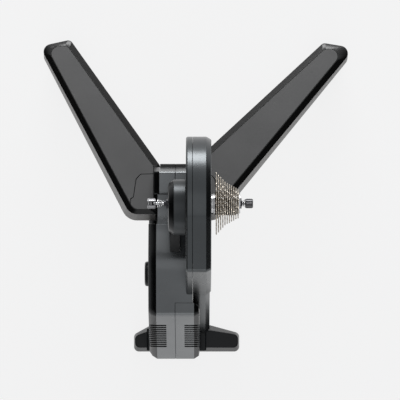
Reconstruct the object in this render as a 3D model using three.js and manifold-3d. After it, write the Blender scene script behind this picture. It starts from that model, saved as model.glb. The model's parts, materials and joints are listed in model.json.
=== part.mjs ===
import * as THREE from "three";
import { mergeVertices } from "three/addons/utils/BufferGeometryUtils.js";
import Module from "manifold-3d";

// Direct drive bike trainer in millimetres, +Z up, +Y forward, +X to the drive side.
// It is drawn about the bike: x = 0 is the bike's centre plane, y = 0 the axle, z = 0 the floor.

const wasm = await Module();
wasm.setup();

// Sizes that several pieces share
const weld = 0.001;
const gap = 0.3; // between pieces that touch
const overrun = 5; // how far a cutter runs past what it cuts
const axleHeight = 330;
const dropoutWidth = 130;
const seamX = -50; // where the left and right shells meet, and the middle of the leg hinges
const wall = 3;
const skin = 4; // the shells' thickness as seen from the side

// Steps of a rounded corner, and the sides of large, middling and small rounds
const cornerSteps = 4;
const fine = 32; // a multiple of four, as the others are, so that bores match
const medium = 20;
const small = 12;

// Main drum
const drumRadius = 115;
const drumLeftX = -30.4;
const drumSeamX = -19.2;
const drumRightX = 12.8;
const shoulder = 9.5;
const drumEdge = 2.6; // the chamfer round the drum's left side
const drumRoomDraw = 2.5; // how far the drum's room draws in at its right side
const drumBackTopY = -24;
const drumBendY = -116;
const drumBendRise = 62;
const drumBendZ = axleHeight + drumBendRise;
const drumFootY = -160;
const drumFootDrop = 99;
const drumFootZ = axleHeight - drumFootDrop;

// Legs
const hingeOffset = 51;
const hingeY = 20;
const hingeDrop = 160;
const legTopAtHinge = axleHeight - hingeDrop;
const legTipTop = 44.1; // the height of a leg's top at the tip
const legTipForwardY = 270;
const legTilt = Math.atan((legTopAtHinge - legTipTop) / legTipForwardY);
const legThickness = 25;
const legBevel = 8;
const legBevelDepth = 6;
const legRootHalf = 46.4;
const legTipHalf = 27.6;
const legRootReach = 30;
const legTipReach = 307;
const legRearY = -19.7;
const legInnerX = 24; // from the hinge to the leg's inner end, under the body
const tipSlant = THREE.MathUtils.degToRad(13);
const tipOuterRadius = 14;
const tipInnerRadius = 8;
const rootRadius = 28;
const innerRadius = 10;
const legSkin = 5;
const legRim = 6;
const panelThickness = 3;
const leftAngle = THREE.MathUtils.degToRad(31.7);
const rightAngle = THREE.MathUtils.degToRad(43.2);
const leftLength = 320;
const rightLength = 362.5;
const rightShift = 5; // how far the right leg's middle line passes inside its hinge
const legs = [
  { side: "left", way: -1, angle: leftAngle, length: leftLength, shift: 0 },
  { side: "right", way: 1, angle: rightAngle, length: rightLength, shift: rightShift },
];

// Leg hinges
const armBottomDrop = 228;
const armBottom = axleHeight - armBottomDrop;
const armTopDrop = 212;
const armTop = axleHeight - armTopDrop;
const armEndRadius = 21;
const armHalf = 14;
const lugRadius = 22;
const lugThickness = 20;
const slotRadius = 27;
const pinRadius = 7;
const beamHalf = 16;
const beamReach = 150;
const beamTaperShare = 0.5;
const detentRadius = 3;
const detentPlace = 14;
const detentLength = 12;
const detentFloor = 1.8;

// Hinge covers: places outward of the hinge and places along y
const coverInnerX = -30;
const coverOuterX = 28.5;
const coverStepY = -2;
const coverShoulderX = 27.7;
const coverShoulderY = 8;
const coverElbowX = 23;
const coverElbowY = 11;
const coverFrontX = 18.5;
const coverFrontY = 43;
const coverFrontRadius = 4;
const coverPeakX = 11;
const coverPeakY = 51.5;
const coverPeakRadius = 6;
const coverEndY = 52.5;

// Body shells
const legClearance = 3;
const neckFrontY = 70;
const flangeRise = 8.3; // above the clearance over the legs
const neckChinY = 64;
const chinRise = 11.5;
const neckTopY = 56;
const neckTopDrop = 118;
const neckTopZ = axleHeight - neckTopDrop;
const neckBackY = 16;
const neckBackDrop = 115;
const neckBackZ = axleHeight - neckBackDrop;
const neckLeftX = -87.6;
const flangeLeftX = -77;
const neckBevel = 9.5;
const neckBevelDepth = 7;
const neckJoinRise = 22;
const scoopLowY = -45;
const scoopLowDrop = 150;
const scoopLowZ = axleHeight - scoopLowDrop;
const scoopLeftX = -82;
const deckFrontY = -68;
const deckFrontDrop = 80;
const deckFrontZ = axleHeight - deckFrontDrop;
const deckRearY = -195;
const deckRearDrop = 108;
const deckRearZ = axleHeight - deckRearDrop;
const tailY = -280;
const tailTopZ = 62;
const tailBottomZ = 36;
const bellyRearY = -215;
const bellyFrontY = -36;
const bellyFrontDrop = 238;
const bellyFrontZ = axleHeight - bellyFrontDrop;
const bodyLeftX = -97.2;
const bodyStrakeX = -92;
const bodyFaceX = -83.4;
const strakeDepth = 8;
const sideDepth = 13;
const tailRightX = -7;
const tailRightFaceX = -17;
const tailChamferDepth = 13;
const tailJogY = -174.5;
const skirtRightX = 10.7;
const skirtFaceX = 3;
const skirtRearY = -236;
const skirtBottomZ = 36;
const skirtDepth = 6;
const skirtRise = 12; // how far the skirt reaches up into the drum

// Vents
const ventCount = 12;
const ventTopDrop = 144;
const ventTopZ = axleHeight - ventTopDrop;
const ventPitch = 6.9;
const ventHeight = 3.4;
const ventInnerX = -66;

// Frame
const webLeftX = -58;
const webRightX = -42;
const frameRingRadius = 27;
const frameNeckHalf = 23;
const frameFrontY = 25;
const frameHeelY = -60;
const frameShoulderDrop = 144;
const frameShoulderZ = axleHeight - frameShoulderDrop;
const frameDeckDrop = 14;
const frameRearZ = 90;
const frameBellyZ = 50;
const footPostFrontY = -216;
const footPostRearY = -250;
const frameRingRightX = -36;
const frameClearance = 0.6;
const pedestalHalf = 40;

// Hub cap on the left of the drum
const hubCapY = -6.7;
const hubCapRadius = 48;
const hubCapLeftX = -61.5;
const hubCapRimX = -51;
const hubCapRightX = -31.4;
const hubCapFaceRadius = 36;
const hubCapFaceInset = 1;
const axleHole = 10.5;

// Spindle, bearings and drive unit
const spindleRadius = 8.5;
const spindleBore = 3.2;
const spindleLeftX = -61;
const spindleRightX = 59.5;
const bearingRadius = 17.5;
const bearingWidth = 8;
const bearingLeftX = -8;
const bearingRightX = 1;
const rotorRadius = 103.5;
const rotorInnerRadius = 96;
const rotorLeftX = -20;
const rotorRightX = 8.5;
const rotorWeb = 4.5;
const rotorHubRadius = 24;
const rotorHubLeftX = -9;
const rotorHubRightX = 9.3;
const magnetThickness = 3.4;
const statorRadius = 91.5;
const statorBore = 60;
const statorLeftX = -19;
const statorRightX = -1;
const statorSlots = 18;
const slotDepth = 18;
const poleShares = [0, 0.35, 0.7];
const slotShares = [0.74, 0.96];
const windingThickness = 3.7;
const carrierHubRadius = 30;
const carrierDiscLeftX = -25;
const carrierEndX = -10;
const carrierClearance = 2;
const flangeRadius = 17;
const flangeRightX = 19.4;
const shellHole = 20;

// Freehub and cassette
const freehubRadius = 17;
const splineDepth = 1.4;
const splineCount = 9;
const splineShares = [0, 0.08, 0.5, 0.58];
const cogTeeth = [25, 23, 21, 19, 17, 16, 15, 14, 13, 12, 11];
const chainPitch = 12.7;
const rollerRadius = 3.9;
const toothRise = 3.2;
const toothTipShares = [0.38, 0.58];
const cogFirstX = 21.6; // the middle of the largest cog
const cogPitch = 3.74;
const cogThickness = 1.8;
const lastCogX = cogFirstX + (cogTeeth.length - 1) * cogPitch + cogThickness / 2;
const spacerRadius = 20.3;
const lockringRadius = 17.4;
const lockringThickness = 2.5;
const freehubShort = 0.4; // how far the freehub body ends inside the smallest cog
const lockringBore = 11;
const endCapRadius = 9;
const stubRadius = 5; // of the end that stands in the dropout's slot
const leftStub = 4;
const rightStub = 1.5;

// Quick release
const rodRadius = 2.5;
const rodLeftX = -85.4;
const rodRightX = 81.7;
const headLeftX = -97;
const headRightX = -82.3;
const headRadius = 9;
const headCheek = 3.3;
const headBack = 3.4;
const camX = -90.6;
const camRadius = 4.6;
const camPinRadius = 1.8;
const leverHalf = 3;
const leverLength = 56;
const leverGripHalf = 6;
const leverThickness = 5;
const leverGripTop = 14;
const leverLean = 4;
const washerLeftX = -80;
const washerRightX = -78.3;
const washerRadius = 7.5;
const nutLeftX = 71;
const nutRightX = 84.7;
const nutRadius = 8.25;
const fluteCount = 12;
const fluteDepth = 0.9;
const fluteShares = [0.1, 0.6, 0.7, 1];
const springWire = 1.2;
const springSmall = 4.1;
const springLarge = 6.6;
const springNarrowWire = 0.9;
const springNarrowLarge = 6.2;

// Rear foot
const footLeftX = -126.6;
const footRightX = 64.9;
const footFrontY = -221;
const footEndFrontY = -238;
const footRearY = -270;
const footWaistLeftX = -96;
const footWaistRightX = 12;
const footTop = 30;
const footSlope = 9;
const footSlopeEnd = 2.5;
const footCorner = 9;
const padThickness = 4;
const padInset = 6;
const padLength = 46;

// Leg feet
const legFootLength = 52;
const legFootEnd = 14;
const legFootHalf = 18;
const legFootCorner = 8;
const legFootFlare = 2;

// Electronics and inlet
const boardX = -63.6;
const boardThickness = 1.6;
const boardFrontY = -85;
const boardRearY = -185;
const boardBottomDrop = 214;
const boardBottomZ = axleHeight - boardBottomDrop;
const boardTopDrop = 140;
const boardTopZ = axleHeight - boardTopDrop;
const postRadius = 4;
const postInset = 8;
const inletY = -125;
const inletDrop = 180;
const inletZ = axleHeight - inletDrop;
const inletRadius = 22;
const inletProud = 7;
const inletBore = 12;
const inletDepth = 14;
const socketRadius = 10;
const socketPin = 2;
const socketDepth = 8;

// Materials
const finish = (color, roughness, metalness) =>
  new THREE.MeshStandardMaterial({ color, roughness, metalness });
const shellGrey = finish(0x4a4e52, 0.42, 0.1);
const legBlack = finish(0x1c1d1f, 0.35, 0.1);
const panelGrey = finish(0x56585c, 0.4, 0.2);
const castGrey = finish(0x6a6d70, 0.6, 0.7);
const steel = finish(0xb9bbbd, 0.3, 0.95);
const darkSteel = finish(0x3a3b3d, 0.4, 0.8);
const silver = finish(0xd8d4cc, 0.25, 0.95);
const copper = finish(0xa8623a, 0.4, 0.8);
const rubber = finish(0x161616, 0.9, 0);
const plasticBlack = finish(0x202225, 0.5, 0);
const boardGreen = finish(0x1f5a38, 0.6, 0.1);

// Solids and booleans
function toSolid(geometry) {
  const plain = geometry.index ? geometry.toNonIndexed() : geometry.clone();
  plain.deleteAttribute("normal");
  plain.deleteAttribute("uv");
  const merged = mergeVertices(plain, weld);
  const triVerts = new Uint32Array(merged.index.array);
  const build = () =>
    new wasm.Manifold(
      new wasm.Mesh({ numProp: 3, vertProperties: merged.attributes.position.array, triVerts }),
    );
  const made = build();
  if (made.volume() >= 0) return made;
  for (let i = 0; i < triVerts.length; i += 3) {
    [triVerts[i + 1], triVerts[i + 2]] = [triVerts[i + 2], triVerts[i + 1]];
  }
  return build();
}

function toGeometry(solid) {
  const mesh = solid.getMesh();
  const geometry = new THREE.BufferGeometry();
  geometry.setAttribute("position", new THREE.BufferAttribute(mesh.vertProperties, 3));
  geometry.setIndex(new THREE.BufferAttribute(mesh.triVerts, 1));
  return geometry;
}

const join = (first, ...rest) =>
  toGeometry(rest.reduce((sum, next) => sum.add(toSolid(next)), toSolid(first)));
const cut = (first, ...rest) =>
  toGeometry(rest.reduce((left, next) => left.subtract(toSolid(next)), toSolid(first)));
const common = (first, second) => toGeometry(toSolid(first).intersect(toSolid(second)));

// Outlines: lists of [a, b], anticlockwise, where a third value rounds the corner
function circle(centreA, centreB, radius, steps, from = 0, turn = 2 * Math.PI) {
  const open = turn < 2 * Math.PI;
  return Array.from({ length: steps + (open ? 1 : 0) }, (_, i) => {
    const angle = from + (turn * i) / steps;
    return [centreA + radius * Math.cos(angle), centreB + radius * Math.sin(angle)];
  });
}

function rounded(corners) {
  return corners.flatMap(([a, b, radius], i) => {
    if (!radius) return [[a, b]];
    const here = new THREE.Vector2(a, b);
    const before = corners.at(i - 1);
    const after = corners[(i + 1) % corners.length];
    const back = new THREE.Vector2(before[0], before[1]).sub(here).normalize();
    const ahead = new THREE.Vector2(after[0], after[1]).sub(here).normalize();
    const half = Math.acos(THREE.MathUtils.clamp(back.dot(ahead), -1, 1)) / 2;
    const start = here.clone().addScaledVector(back, radius / Math.tan(half));
    const end = here.clone().addScaledVector(ahead, radius / Math.tan(half));
    const middle = here
      .clone()
      .addScaledVector(back.clone().add(ahead).normalize(), radius / Math.sin(half));
    const first = start.clone().sub(middle).angle();
    const turn = THREE.MathUtils.euclideanModulo(
      end.clone().sub(middle).angle() - first + Math.PI,
      2 * Math.PI,
    ) - Math.PI;
    return Array.from({ length: cornerSteps + 1 }, (_, k) => {
      const angle = first + (turn * k) / cornerSteps;
      return [middle.x + radius * Math.cos(angle), middle.y + radius * Math.sin(angle)];
    });
  });
}

// The outline drawn in by a distance, with each corner kept sharp or its radius made smaller
function drawnIn(corners, distance) {
  return corners.map(([a, b, radius], i) => {
    const before = corners.at(i - 1);
    const after = corners[(i + 1) % corners.length];
    const into = new THREE.Vector2(a - before[0], b - before[1]).normalize();
    const out = new THREE.Vector2(after[0] - a, after[1] - b).normalize();
    const normalIn = new THREE.Vector2(-into.y, into.x);
    const normalOut = new THREE.Vector2(-out.y, out.x);
    const middle = normalIn.clone().add(normalOut).normalize();
    const reach = distance / middle.dot(normalIn);
    const place = [a + middle.x * reach, b + middle.y * reach];
    return radius ? [...place, Math.max(radius - distance, radius / 4)] : place;
  });
}

const axes = {
  x: new THREE.Matrix4().makeBasis(
    new THREE.Vector3(0, 1, 0),
    new THREE.Vector3(0, 0, 1),
    new THREE.Vector3(1, 0, 0),
  ),
  y: new THREE.Matrix4().makeBasis(
    new THREE.Vector3(0, 0, 1),
    new THREE.Vector3(1, 0, 0),
    new THREE.Vector3(0, 1, 0),
  ),
  z: new THREE.Matrix4(),
};

// A solid along an axis between two places; its outline is in (y, z), (z, x) or (x, y)
function extruded(axis, outline, from, to, ...holes) {
  const points = (list) => list.map(([a, b]) => new THREE.Vector2(a, b));
  const shape = new THREE.Shape(points(outline));
  for (const hole of holes) shape.holes.push(new THREE.Path(points(hole)));
  const geometry = new THREE.ExtrudeGeometry(shape, { depth: to - from, bevelEnabled: false });
  return geometry.translate(0, 0, from).applyMatrix4(axes[axis]);
}

// A solid through loops of [x, y, z] points, all with as many points, closed at both ends
function lofted(loops, flat = ([x, y]) => [x, y]) {
  const count = loops[0].length;
  const positions = loops.flat(2);
  const flats = loops.map((loop) => loop.map((point) => new THREE.Vector2(...flat(point))));
  const areas = flats.map((loop) => Math.abs(THREE.ShapeUtils.area(loop)));
  const widest = flats[areas.indexOf(Math.max(...areas))];
  const faces = THREE.ShapeUtils.triangulateShape(widest, []);
  const last = (loops.length - 1) * count;
  const index = faces.flatMap(([a, b, c]) => [c, b, a, last + a, last + b, last + c]);
  for (let level = 0; level < loops.length - 1; level += 1) {
    for (let i = 0; i < count; i += 1) {
      const a = level * count + i;
      const b = level * count + ((i + 1) % count);
      index.push(a, b, b + count, a, b + count, a + count);
    }
  }
  const geometry = new THREE.BufferGeometry();
  geometry.setAttribute("position", new THREE.Float32BufferAttribute(positions, 3));
  return geometry.setIndex(index);
}

// A solid along x through levels of [x, outline in (y, z)]
const loftedX = (...levels) =>
  lofted(
    levels.map(([x, outline]) => outline.map(([y, z]) => [x, y, z])),
    ([, y, z]) => [y, z],
  );

// Turned solids: the profile is [x, radius] about the axle, or [z, radius] about an upright line
function turned(profile, sides, y = 0, z = axleHeight) {
  const geometry = new THREE.LatheGeometry(
    profile.map(([x, radius]) => new THREE.Vector2(radius, x)),
    sides,
  );
  const lathe = new THREE.Matrix4().makeBasis(
    new THREE.Vector3(0, 1, 0),
    new THREE.Vector3(1, 0, 0),
    new THREE.Vector3(0, 0, -1),
  );
  return geometry.applyMatrix4(lathe).translate(0, y, z);
}

const rodX = (x0, x1, radius, sides, y, z) =>
  turned([[x0, 0], [x0, radius], [x1, radius], [x1, 0]], sides, y, z);
const ringX = (x0, x1, inner, outer, sides, y, z) =>
  turned([[x0, inner], [x0, outer], [x1, outer], [x1, inner], [x0, inner]], sides, y, z);
const rodY = (x, z, half, radius) =>
  extruded("y", circle(z, x, radius, small), -half, half);
const rodZ = (x, y, z0, z1, radius, sides) =>
  extruded("z", circle(x, y, radius, sides), z0, z1);

function block(x0, x1, y0, y1, z0, z1) {
  return extruded("z", [[x0, y0], [x1, y0], [x1, y1], [x0, y1]], z0, z1);
}

// The assembly
const trainer = new THREE.Group();

function add(name, geometry, material) {
  const mesh = new THREE.Mesh(toGeometry(toSolid(geometry)), material);
  mesh.name = name;
  trainer.add(mesh);
}

// The plane of the leg tops falls to the front
const legTop = (y) => legTopAtHinge - Math.tan(legTilt) * (y - hingeY);
const legBottomDrop = legThickness / Math.cos(legTilt);
const neckBottom = (y) => legTop(y) + legClearance;
const neckStepZ = neckBottom(neckFrontY) + flangeRise;
const neckChinZ = neckBottom(neckChinY) + chinRise;

// Side outlines of the body, in (y, z)
// The scoop under the axle's left end is a parabola from the neck's back edge to the deck
function scoopPoint(y) {
  const a = neckBackY - 2 * scoopLowY + deckFrontY;
  const b = 2 * (scoopLowY - neckBackY);
  const c = neckBackY - y;
  const t = (-b - Math.sqrt(b * b - 4 * a * c)) / (2 * a);
  const z =
    (1 - t) * (1 - t) * neckBackZ + 2 * t * (1 - t) * scoopLowZ + t * t * deckFrontZ;
  return [y, z];
}
const scoopSteps = 6;
const scoopPoints = (from, to) =>
  Array.from({ length: scoopSteps + 1 }, (_, i) =>
    scoopPoint(from + ((to - from) * i) / scoopSteps),
  );

const neckOutline = [
  [neckBackY, neckBottom(neckBackY)],
  [neckChinY, neckBottom(neckChinY)],
  [neckChinY, neckChinZ],
  [neckTopY, neckTopZ],
  [neckBackY, neckBackZ],
];
const neckSide = neckOutline.map(([y, z]) => [y, z >= neckTopZ ? z - neckBevelDepth : z]);

const flangeOutline = [
  [neckTopY, neckBottom(neckTopY)],
  [neckFrontY, neckBottom(neckFrontY)],
  [neckFrontY, neckStepZ],
  [neckChinY, neckChinZ],
  [neckTopY, neckChinZ],
];

const scoopOutline = [
  [bellyFrontY, neckBottom(legRearY)],
  [neckBackY, neckBottom(neckBackY)],
  ...scoopPoints(neckBackY, bellyFrontY),
];

const bodyOutline = [
  [bellyRearY, tailBottomZ],
  [bellyFrontY, bellyFrontZ],
  ...scoopPoints(bellyFrontY, deckFrontY),
  [deckRearY, deckRearZ],
  [tailY, tailTopZ],
  [tailY, tailBottomZ],
];

const along = (y, [y0, z0], [y1, z1]) => [y, z0 + ((y - y0) / (y1 - y0)) * (z1 - z0)];
const tailOutline = [
  [bellyRearY, tailBottomZ],
  along(tailJogY, [bellyRearY, tailBottomZ], [bellyFrontY, bellyFrontZ]),
  along(tailJogY, [deckFrontY, deckFrontZ], [deckRearY, deckRearZ]),
  [deckRearY, deckRearZ],
  [tailY, tailTopZ],
  [tailY, tailBottomZ],
];

const drumArcStart = THREE.MathUtils.degToRad(-100);
const drumArcEnd = Math.PI - Math.acos(-drumBackTopY / drumRadius);
const drumOutline = [
  ...circle(0, axleHeight, drumRadius, fine, drumArcStart, drumArcEnd - drumArcStart),
  [drumBendY, drumBendZ],
  [drumFootY, drumFootZ],
];

const skirtOutline = [
  [bellyRearY, skirtBottomZ],
  [bellyFrontY, bellyFrontZ],
  [bellyFrontY, axleHeight - drumRadius + skirtRise],
  [drumFootY + skirtRise / 2, drumFootZ + skirtRise],
  [drumFootY, drumFootZ],
  [skirtRearY, skirtBottomZ],
];

const frameOutline = [
  [footPostRearY, footTop + gap],
  [footPostFrontY, footTop + gap],
  [footPostFrontY, frameBellyZ],
  [frameHeelY, armBottom],
  [frameFrontY, armBottom],
  [frameFrontY, frameShoulderZ],
  [frameNeckHalf, axleHeight - frameRingRadius],
  [frameNeckHalf, axleHeight],
  [-frameNeckHalf, axleHeight],
  [-frameNeckHalf - overrun, axleHeight - hubCapRadius],
  [deckFrontY - 2 * overrun, deckFrontZ - frameDeckDrop],
  [deckRearY + 2 * overrun, deckRearZ - frameDeckDrop],
  [footPostRearY, frameRearZ],
];

const frameSlot = extruded(
  "x",
  drawnIn(frameOutline, -frameClearance),
  webLeftX - frameClearance,
  webRightX + frameClearance,
);

// Vent slots through the rear face, from x0 to x1
function ventSlots(x0, x1) {
  const rise = (tailTopZ - deckRearZ) / (tailY - deckRearY);
  return Array.from({ length: ventCount }, (_, i) => {
    const z = ventTopZ - i * ventPitch;
    const faceY = deckRearY + (z - deckRearZ) / rise;
    return block(x0, x1, tailY - overrun, faceY + 2 * wall + overrun, z - ventHeight, z);
  });
}

function leftShell() {
  const neck = loftedX(
    [neckLeftX, neckSide],
    [neckLeftX + neckBevel, neckOutline],
    [seamX, neckOutline],
  );
  const flange = extruded("x", flangeOutline, flangeLeftX, seamX);
  const saddle = extruded("x", scoopOutline, scoopLeftX, seamX);
  const body = loftedX(
    [bodyLeftX, drawnIn(bodyOutline, sideDepth)],
    [bodyStrakeX, drawnIn(bodyOutline, strakeDepth)],
    [bodyFaceX, bodyOutline],
    [seamX, bodyOutline],
  );
  const deck = common(
    extruded("x", bodyOutline, seamX - overrun, drumSeamX),
    block(seamX - overrun, drumSeamX, tailJogY + gap, bellyFrontY, 0, axleHeight),
  );
  const drum = loftedX(
    [drumLeftX, drawnIn(drumOutline, drumEdge)],
    [drumLeftX + drumEdge, drumOutline],
    [drumSeamX, drumOutline],
  );
  const pedestalOutline = [
    [hubCapY - pedestalHalf, neckTopZ - wall],
    [hubCapY + pedestalHalf, neckTopZ - wall],
    [hubCapY + pedestalHalf - overrun, axleHeight],
    [hubCapY - pedestalHalf + overrun, axleHeight],
  ];
  const pedestal = cut(
    extruded("x", pedestalOutline, webLeftX - wall, drumLeftX + wall),
    block(seamX, drumSeamX, bellyFrontY, neckFrontY, 0, neckBackZ + gap),
  );
  const bodyHollow = loftedX(
    [bodyLeftX + wall, drawnIn(bodyOutline, sideDepth + wall)],
    [bodyFaceX, drawnIn(bodyOutline, skin)],
    [seamX + overrun, drawnIn(bodyOutline, skin)],
  );
  const deckHollow = common(
    extruded("x", drawnIn(bodyOutline, skin), seamX - overrun, drumSeamX + overrun),
    block(seamX - overrun, drumSeamX + overrun, tailJogY + wall, bellyFrontY, 0, axleHeight),
  );
  const drumHollow = extruded(
    "x",
    drawnIn(drumOutline, skin),
    drumLeftX + wall,
    drumSeamX + overrun,
  );
  const capRoom = rodX(hubCapLeftX - overrun, drumLeftX, hubCapRadius + gap, fine, hubCapY);
  const carrierHole = rodX(webLeftX, drumSeamX, carrierHubRadius + carrierClearance, medium);
  const inletHole = rodX(
    bodyLeftX - overrun,
    bodyFaceX + 2 * overrun,
    inletBore + gap,
    small,
    inletY,
    inletZ,
  );
  return cut(
    join(neck, flange, saddle, body, deck, drum, pedestal),
    bodyHollow,
    deckHollow,
    drumHollow,
    capRoom,
    carrierHole,
    frameSlot,
    inletHole,
    ...ventSlots(bodyLeftX - overrun, ventInnerX),
  );
}

function rightShell() {
  const first = seamX + gap;
  const neckRightX = 2 * seamX - neckLeftX;
  const neck = loftedX(
    [first, neckOutline],
    [neckRightX - neckBevel, neckOutline],
    [neckRightX, neckSide],
  );
  const flange = extruded("x", flangeOutline, first, 2 * seamX - flangeLeftX);
  const neckTop = block(
    drumSeamX + gap,
    neckRightX,
    bellyFrontY + gap,
    neckTopY,
    neckTopZ - neckBevelDepth - wall,
    neckBackZ + neckJoinRise,
  );
  const saddle = common(
    extruded("x", scoopOutline, first, neckRightX - neckBevel),
    block(first, neckRightX, bellyFrontY + gap, neckBackY, 0, axleHeight),
  );
  const tail = loftedX(
    [first, tailOutline],
    [tailRightFaceX, tailOutline],
    [tailRightX, drawnIn(tailOutline, tailChamferDepth)],
  );
  const drum = loftedX(
    [drumSeamX + gap, drumOutline],
    [drumRightX - shoulder, drumOutline],
    [drumRightX - shoulder / 3, drawnIn(drumOutline, shoulder / 3)],
    [drumRightX, drawnIn(drumOutline, shoulder)],
  );
  const skirt = loftedX(
    [drumSeamX + gap, skirtOutline],
    [skirtFaceX, skirtOutline],
    [skirtRightX, drawnIn(skirtOutline, skirtDepth)],
  );
  const tailHollow = loftedX(
    [first - overrun, drawnIn(tailOutline, skin)],
    [tailRightFaceX, drawnIn(tailOutline, skin)],
    [tailRightX - wall, drawnIn(tailOutline, tailChamferDepth + wall)],
  );
  const skirtHollow = loftedX(
    [drumSeamX - overrun, drawnIn(skirtOutline, skin)],
    [skirtFaceX, drawnIn(skirtOutline, skin)],
    [skirtRightX - wall, drawnIn(skirtOutline, skirtDepth + wall)],
  );
  const drumHollow = loftedX(
    [drumSeamX - overrun, drawnIn(drumOutline, skin)],
    [drumRightX - shoulder, drawnIn(drumOutline, skin)],
    [drumRightX - wall, drawnIn(drumOutline, skin + drumRoomDraw)],
  );
  const hubHole = rodX(0, drumRightX + overrun, shellHole, medium);
  return cut(
    join(neck, flange, neckTop, saddle, tail, drum, skirt),
    tailHollow,
    skirtHollow,
    drumHollow,
    hubHole,
    frameSlot,
    ...ventSlots(2 * seamX - ventInnerX, tailRightX + overrun),
  );
}

// The cast frame: an upright web, the hinge arm, the axle ring and the board's posts
function mainFrame() {
  const web = extruded("x", frameOutline, webLeftX, webRightX);
  const ring = rodX(webLeftX, frameRingRightX, frameRingRadius, medium);
  const leftPin = seamX - hingeOffset;
  const rightPin = seamX + hingeOffset;
  const arm = join(
    block(leftPin, rightPin, hingeY - armHalf, hingeY + armHalf, armBottom, armTop),
    rodZ(leftPin, hingeY, armBottom, armTop, armEndRadius, medium),
    rodZ(rightPin, hingeY, armBottom, armTop, armEndRadius, medium),
  );
  const posts = [boardFrontY - postInset, boardRearY + postInset].flatMap((y) =>
    [boardBottomZ + postInset, boardTopZ - postInset].map((z) =>
      rodX(boardX + boardThickness + gap, webLeftX + wall, postRadius, small, y, z),
    ),
  );
  const pinHoles = [leftPin, rightPin].map((x) =>
    rodZ(x, hingeY, armBottom - overrun, armTop + overrun, pinRadius + gap, medium),
  );
  const detentHoles = legs.map(({ way }) =>
    rodZ(
      seamX + way * (hingeOffset - detentPlace),
      hingeY,
      armBottom + detentFloor,
      armTop + overrun,
      detentRadius + gap,
      small,
    ),
  );
  return cut(
    join(web, ring, arm, ...posts),
    rodX(webLeftX - overrun, frameRingRightX + overrun, spindleRadius + gap, medium),
    ...pinHoles,
    ...detentHoles,
  );
}

add("main_frame", mainFrame(), castGrey);
add("left_shell", leftShell(), shellGrey);
add("right_shell", rightShell(), shellGrey);

// Cap over the axle ring
const hubCap = cut(
  turned(
    [
      [hubCapRightX, hubCapRadius - wall],
      [hubCapRimX, hubCapRadius - wall],
      [hubCapLeftX + wall, hubCapFaceRadius - hubCapFaceInset],
      [hubCapLeftX + wall, 0],
      [hubCapLeftX, 0],
      [hubCapLeftX, hubCapFaceRadius],
      [hubCapRimX, hubCapRadius],
      [hubCapRightX, hubCapRadius],
      [hubCapRightX, hubCapRadius - wall],
    ],
    fine,
    hubCapY,
  ),
  rodX(hubCapLeftX - overrun, hubCapRightX, axleHole, medium),
  frameSlot,
);
add("hub_cap", hubCap, shellGrey);

// Spindle, bearings and drive unit
add("axle_spindle", ringX(spindleLeftX, spindleRightX, spindleBore, spindleRadius, medium), steel);
add(
  "bearing_left",
  ringX(bearingLeftX, bearingLeftX + bearingWidth, spindleRadius + gap, bearingRadius, medium),
  darkSteel,
);
add(
  "bearing_right",
  ringX(bearingRightX, bearingRightX + bearingWidth, spindleRadius + gap, bearingRadius, medium),
  darkSteel,
);

const rotorProfile = [
  [rotorHubLeftX, bearingRadius + gap],
  [rotorHubLeftX, rotorHubRadius],
  [rotorRightX - rotorWeb, rotorHubRadius],
  [rotorRightX - rotorWeb, rotorInnerRadius],
  [rotorLeftX, rotorInnerRadius],
  [rotorLeftX, rotorRadius],
  [rotorRightX, rotorRadius],
  [rotorRightX, rotorHubRadius],
  [rotorHubRightX, rotorHubRadius - wall],
  [rotorHubRightX, bearingRadius + gap],
  [rotorHubLeftX, bearingRadius + gap],
];
add("flywheel_rotor", turned(rotorProfile, fine), castGrey);
add(
  "magnet_ring",
  ringX(
    rotorLeftX + gap,
    rotorRightX - rotorWeb - gap,
    rotorInnerRadius - gap - magnetThickness,
    rotorInnerRadius - gap,
    fine,
  ),
  darkSteel,
);

const statorStep = (2 * Math.PI) / statorSlots;
const statorOutline = Array.from({ length: statorSlots }, (_, i) => {
  const tooth = (radius, shares) => shares.map((share) => [
    radius * Math.cos((i + share) * statorStep),
    axleHeight + radius * Math.sin((i + share) * statorStep),
  ]);
  return [
    ...tooth(statorRadius, poleShares),
    ...tooth(statorRadius - slotDepth, slotShares),
  ];
}).flat();
add(
  "stator_core",
  extruded("x", statorOutline, statorLeftX, statorRightX, circle(0, axleHeight, statorBore + gap, fine)),
  steel,
);
add(
  "stator_winding",
  ringX(
    statorRightX + gap,
    statorRightX + gap + windingThickness,
    statorRadius - slotDepth - wall,
    statorRadius - wall,
    fine,
  ),
  copper,
);
add(
  "stator_carrier",
  turned(
    [
      [frameRingRightX + gap, spindleRadius + gap],
      [frameRingRightX + gap, carrierHubRadius],
      [carrierDiscLeftX, carrierHubRadius],
      [carrierDiscLeftX, statorBore],
      [statorRightX, statorBore],
      [statorRightX, statorBore - wall],
      [statorLeftX, statorBore - wall],
      [statorLeftX, carrierHubRadius - overrun],
      [carrierEndX, carrierHubRadius - overrun - wall],
      [carrierEndX, spindleRadius + gap],
      [frameRingRightX + gap, spindleRadius + gap],
    ],
    fine,
  ),
  castGrey,
);

// Freehub and cassette
add(
  "drive_flange",
  ringX(rotorHubRightX + gap, flangeRightX, spindleRadius + gap, flangeRadius, medium),
  silver,
);

const splineOutline = Array.from({ length: splineCount }, (_, i) => {
  const step = (2 * Math.PI) / splineCount;
  const at = (radius, share) => [
    radius * Math.cos((i + share) * step),
    axleHeight + radius * Math.sin((i + share) * step),
  ];
  const low = freehubRadius - splineDepth;
  return splineShares.map((share, k) => at(k % 3 === 0 ? low : freehubRadius, share));
}).flat();
add(
  "freehub_body",
  extruded(
    "x",
    splineOutline,
    flangeRightX + gap,
    lastCogX - freehubShort,
    circle(0, axleHeight, endCapRadius + gap, medium),
  ),
  steel,
);

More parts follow.
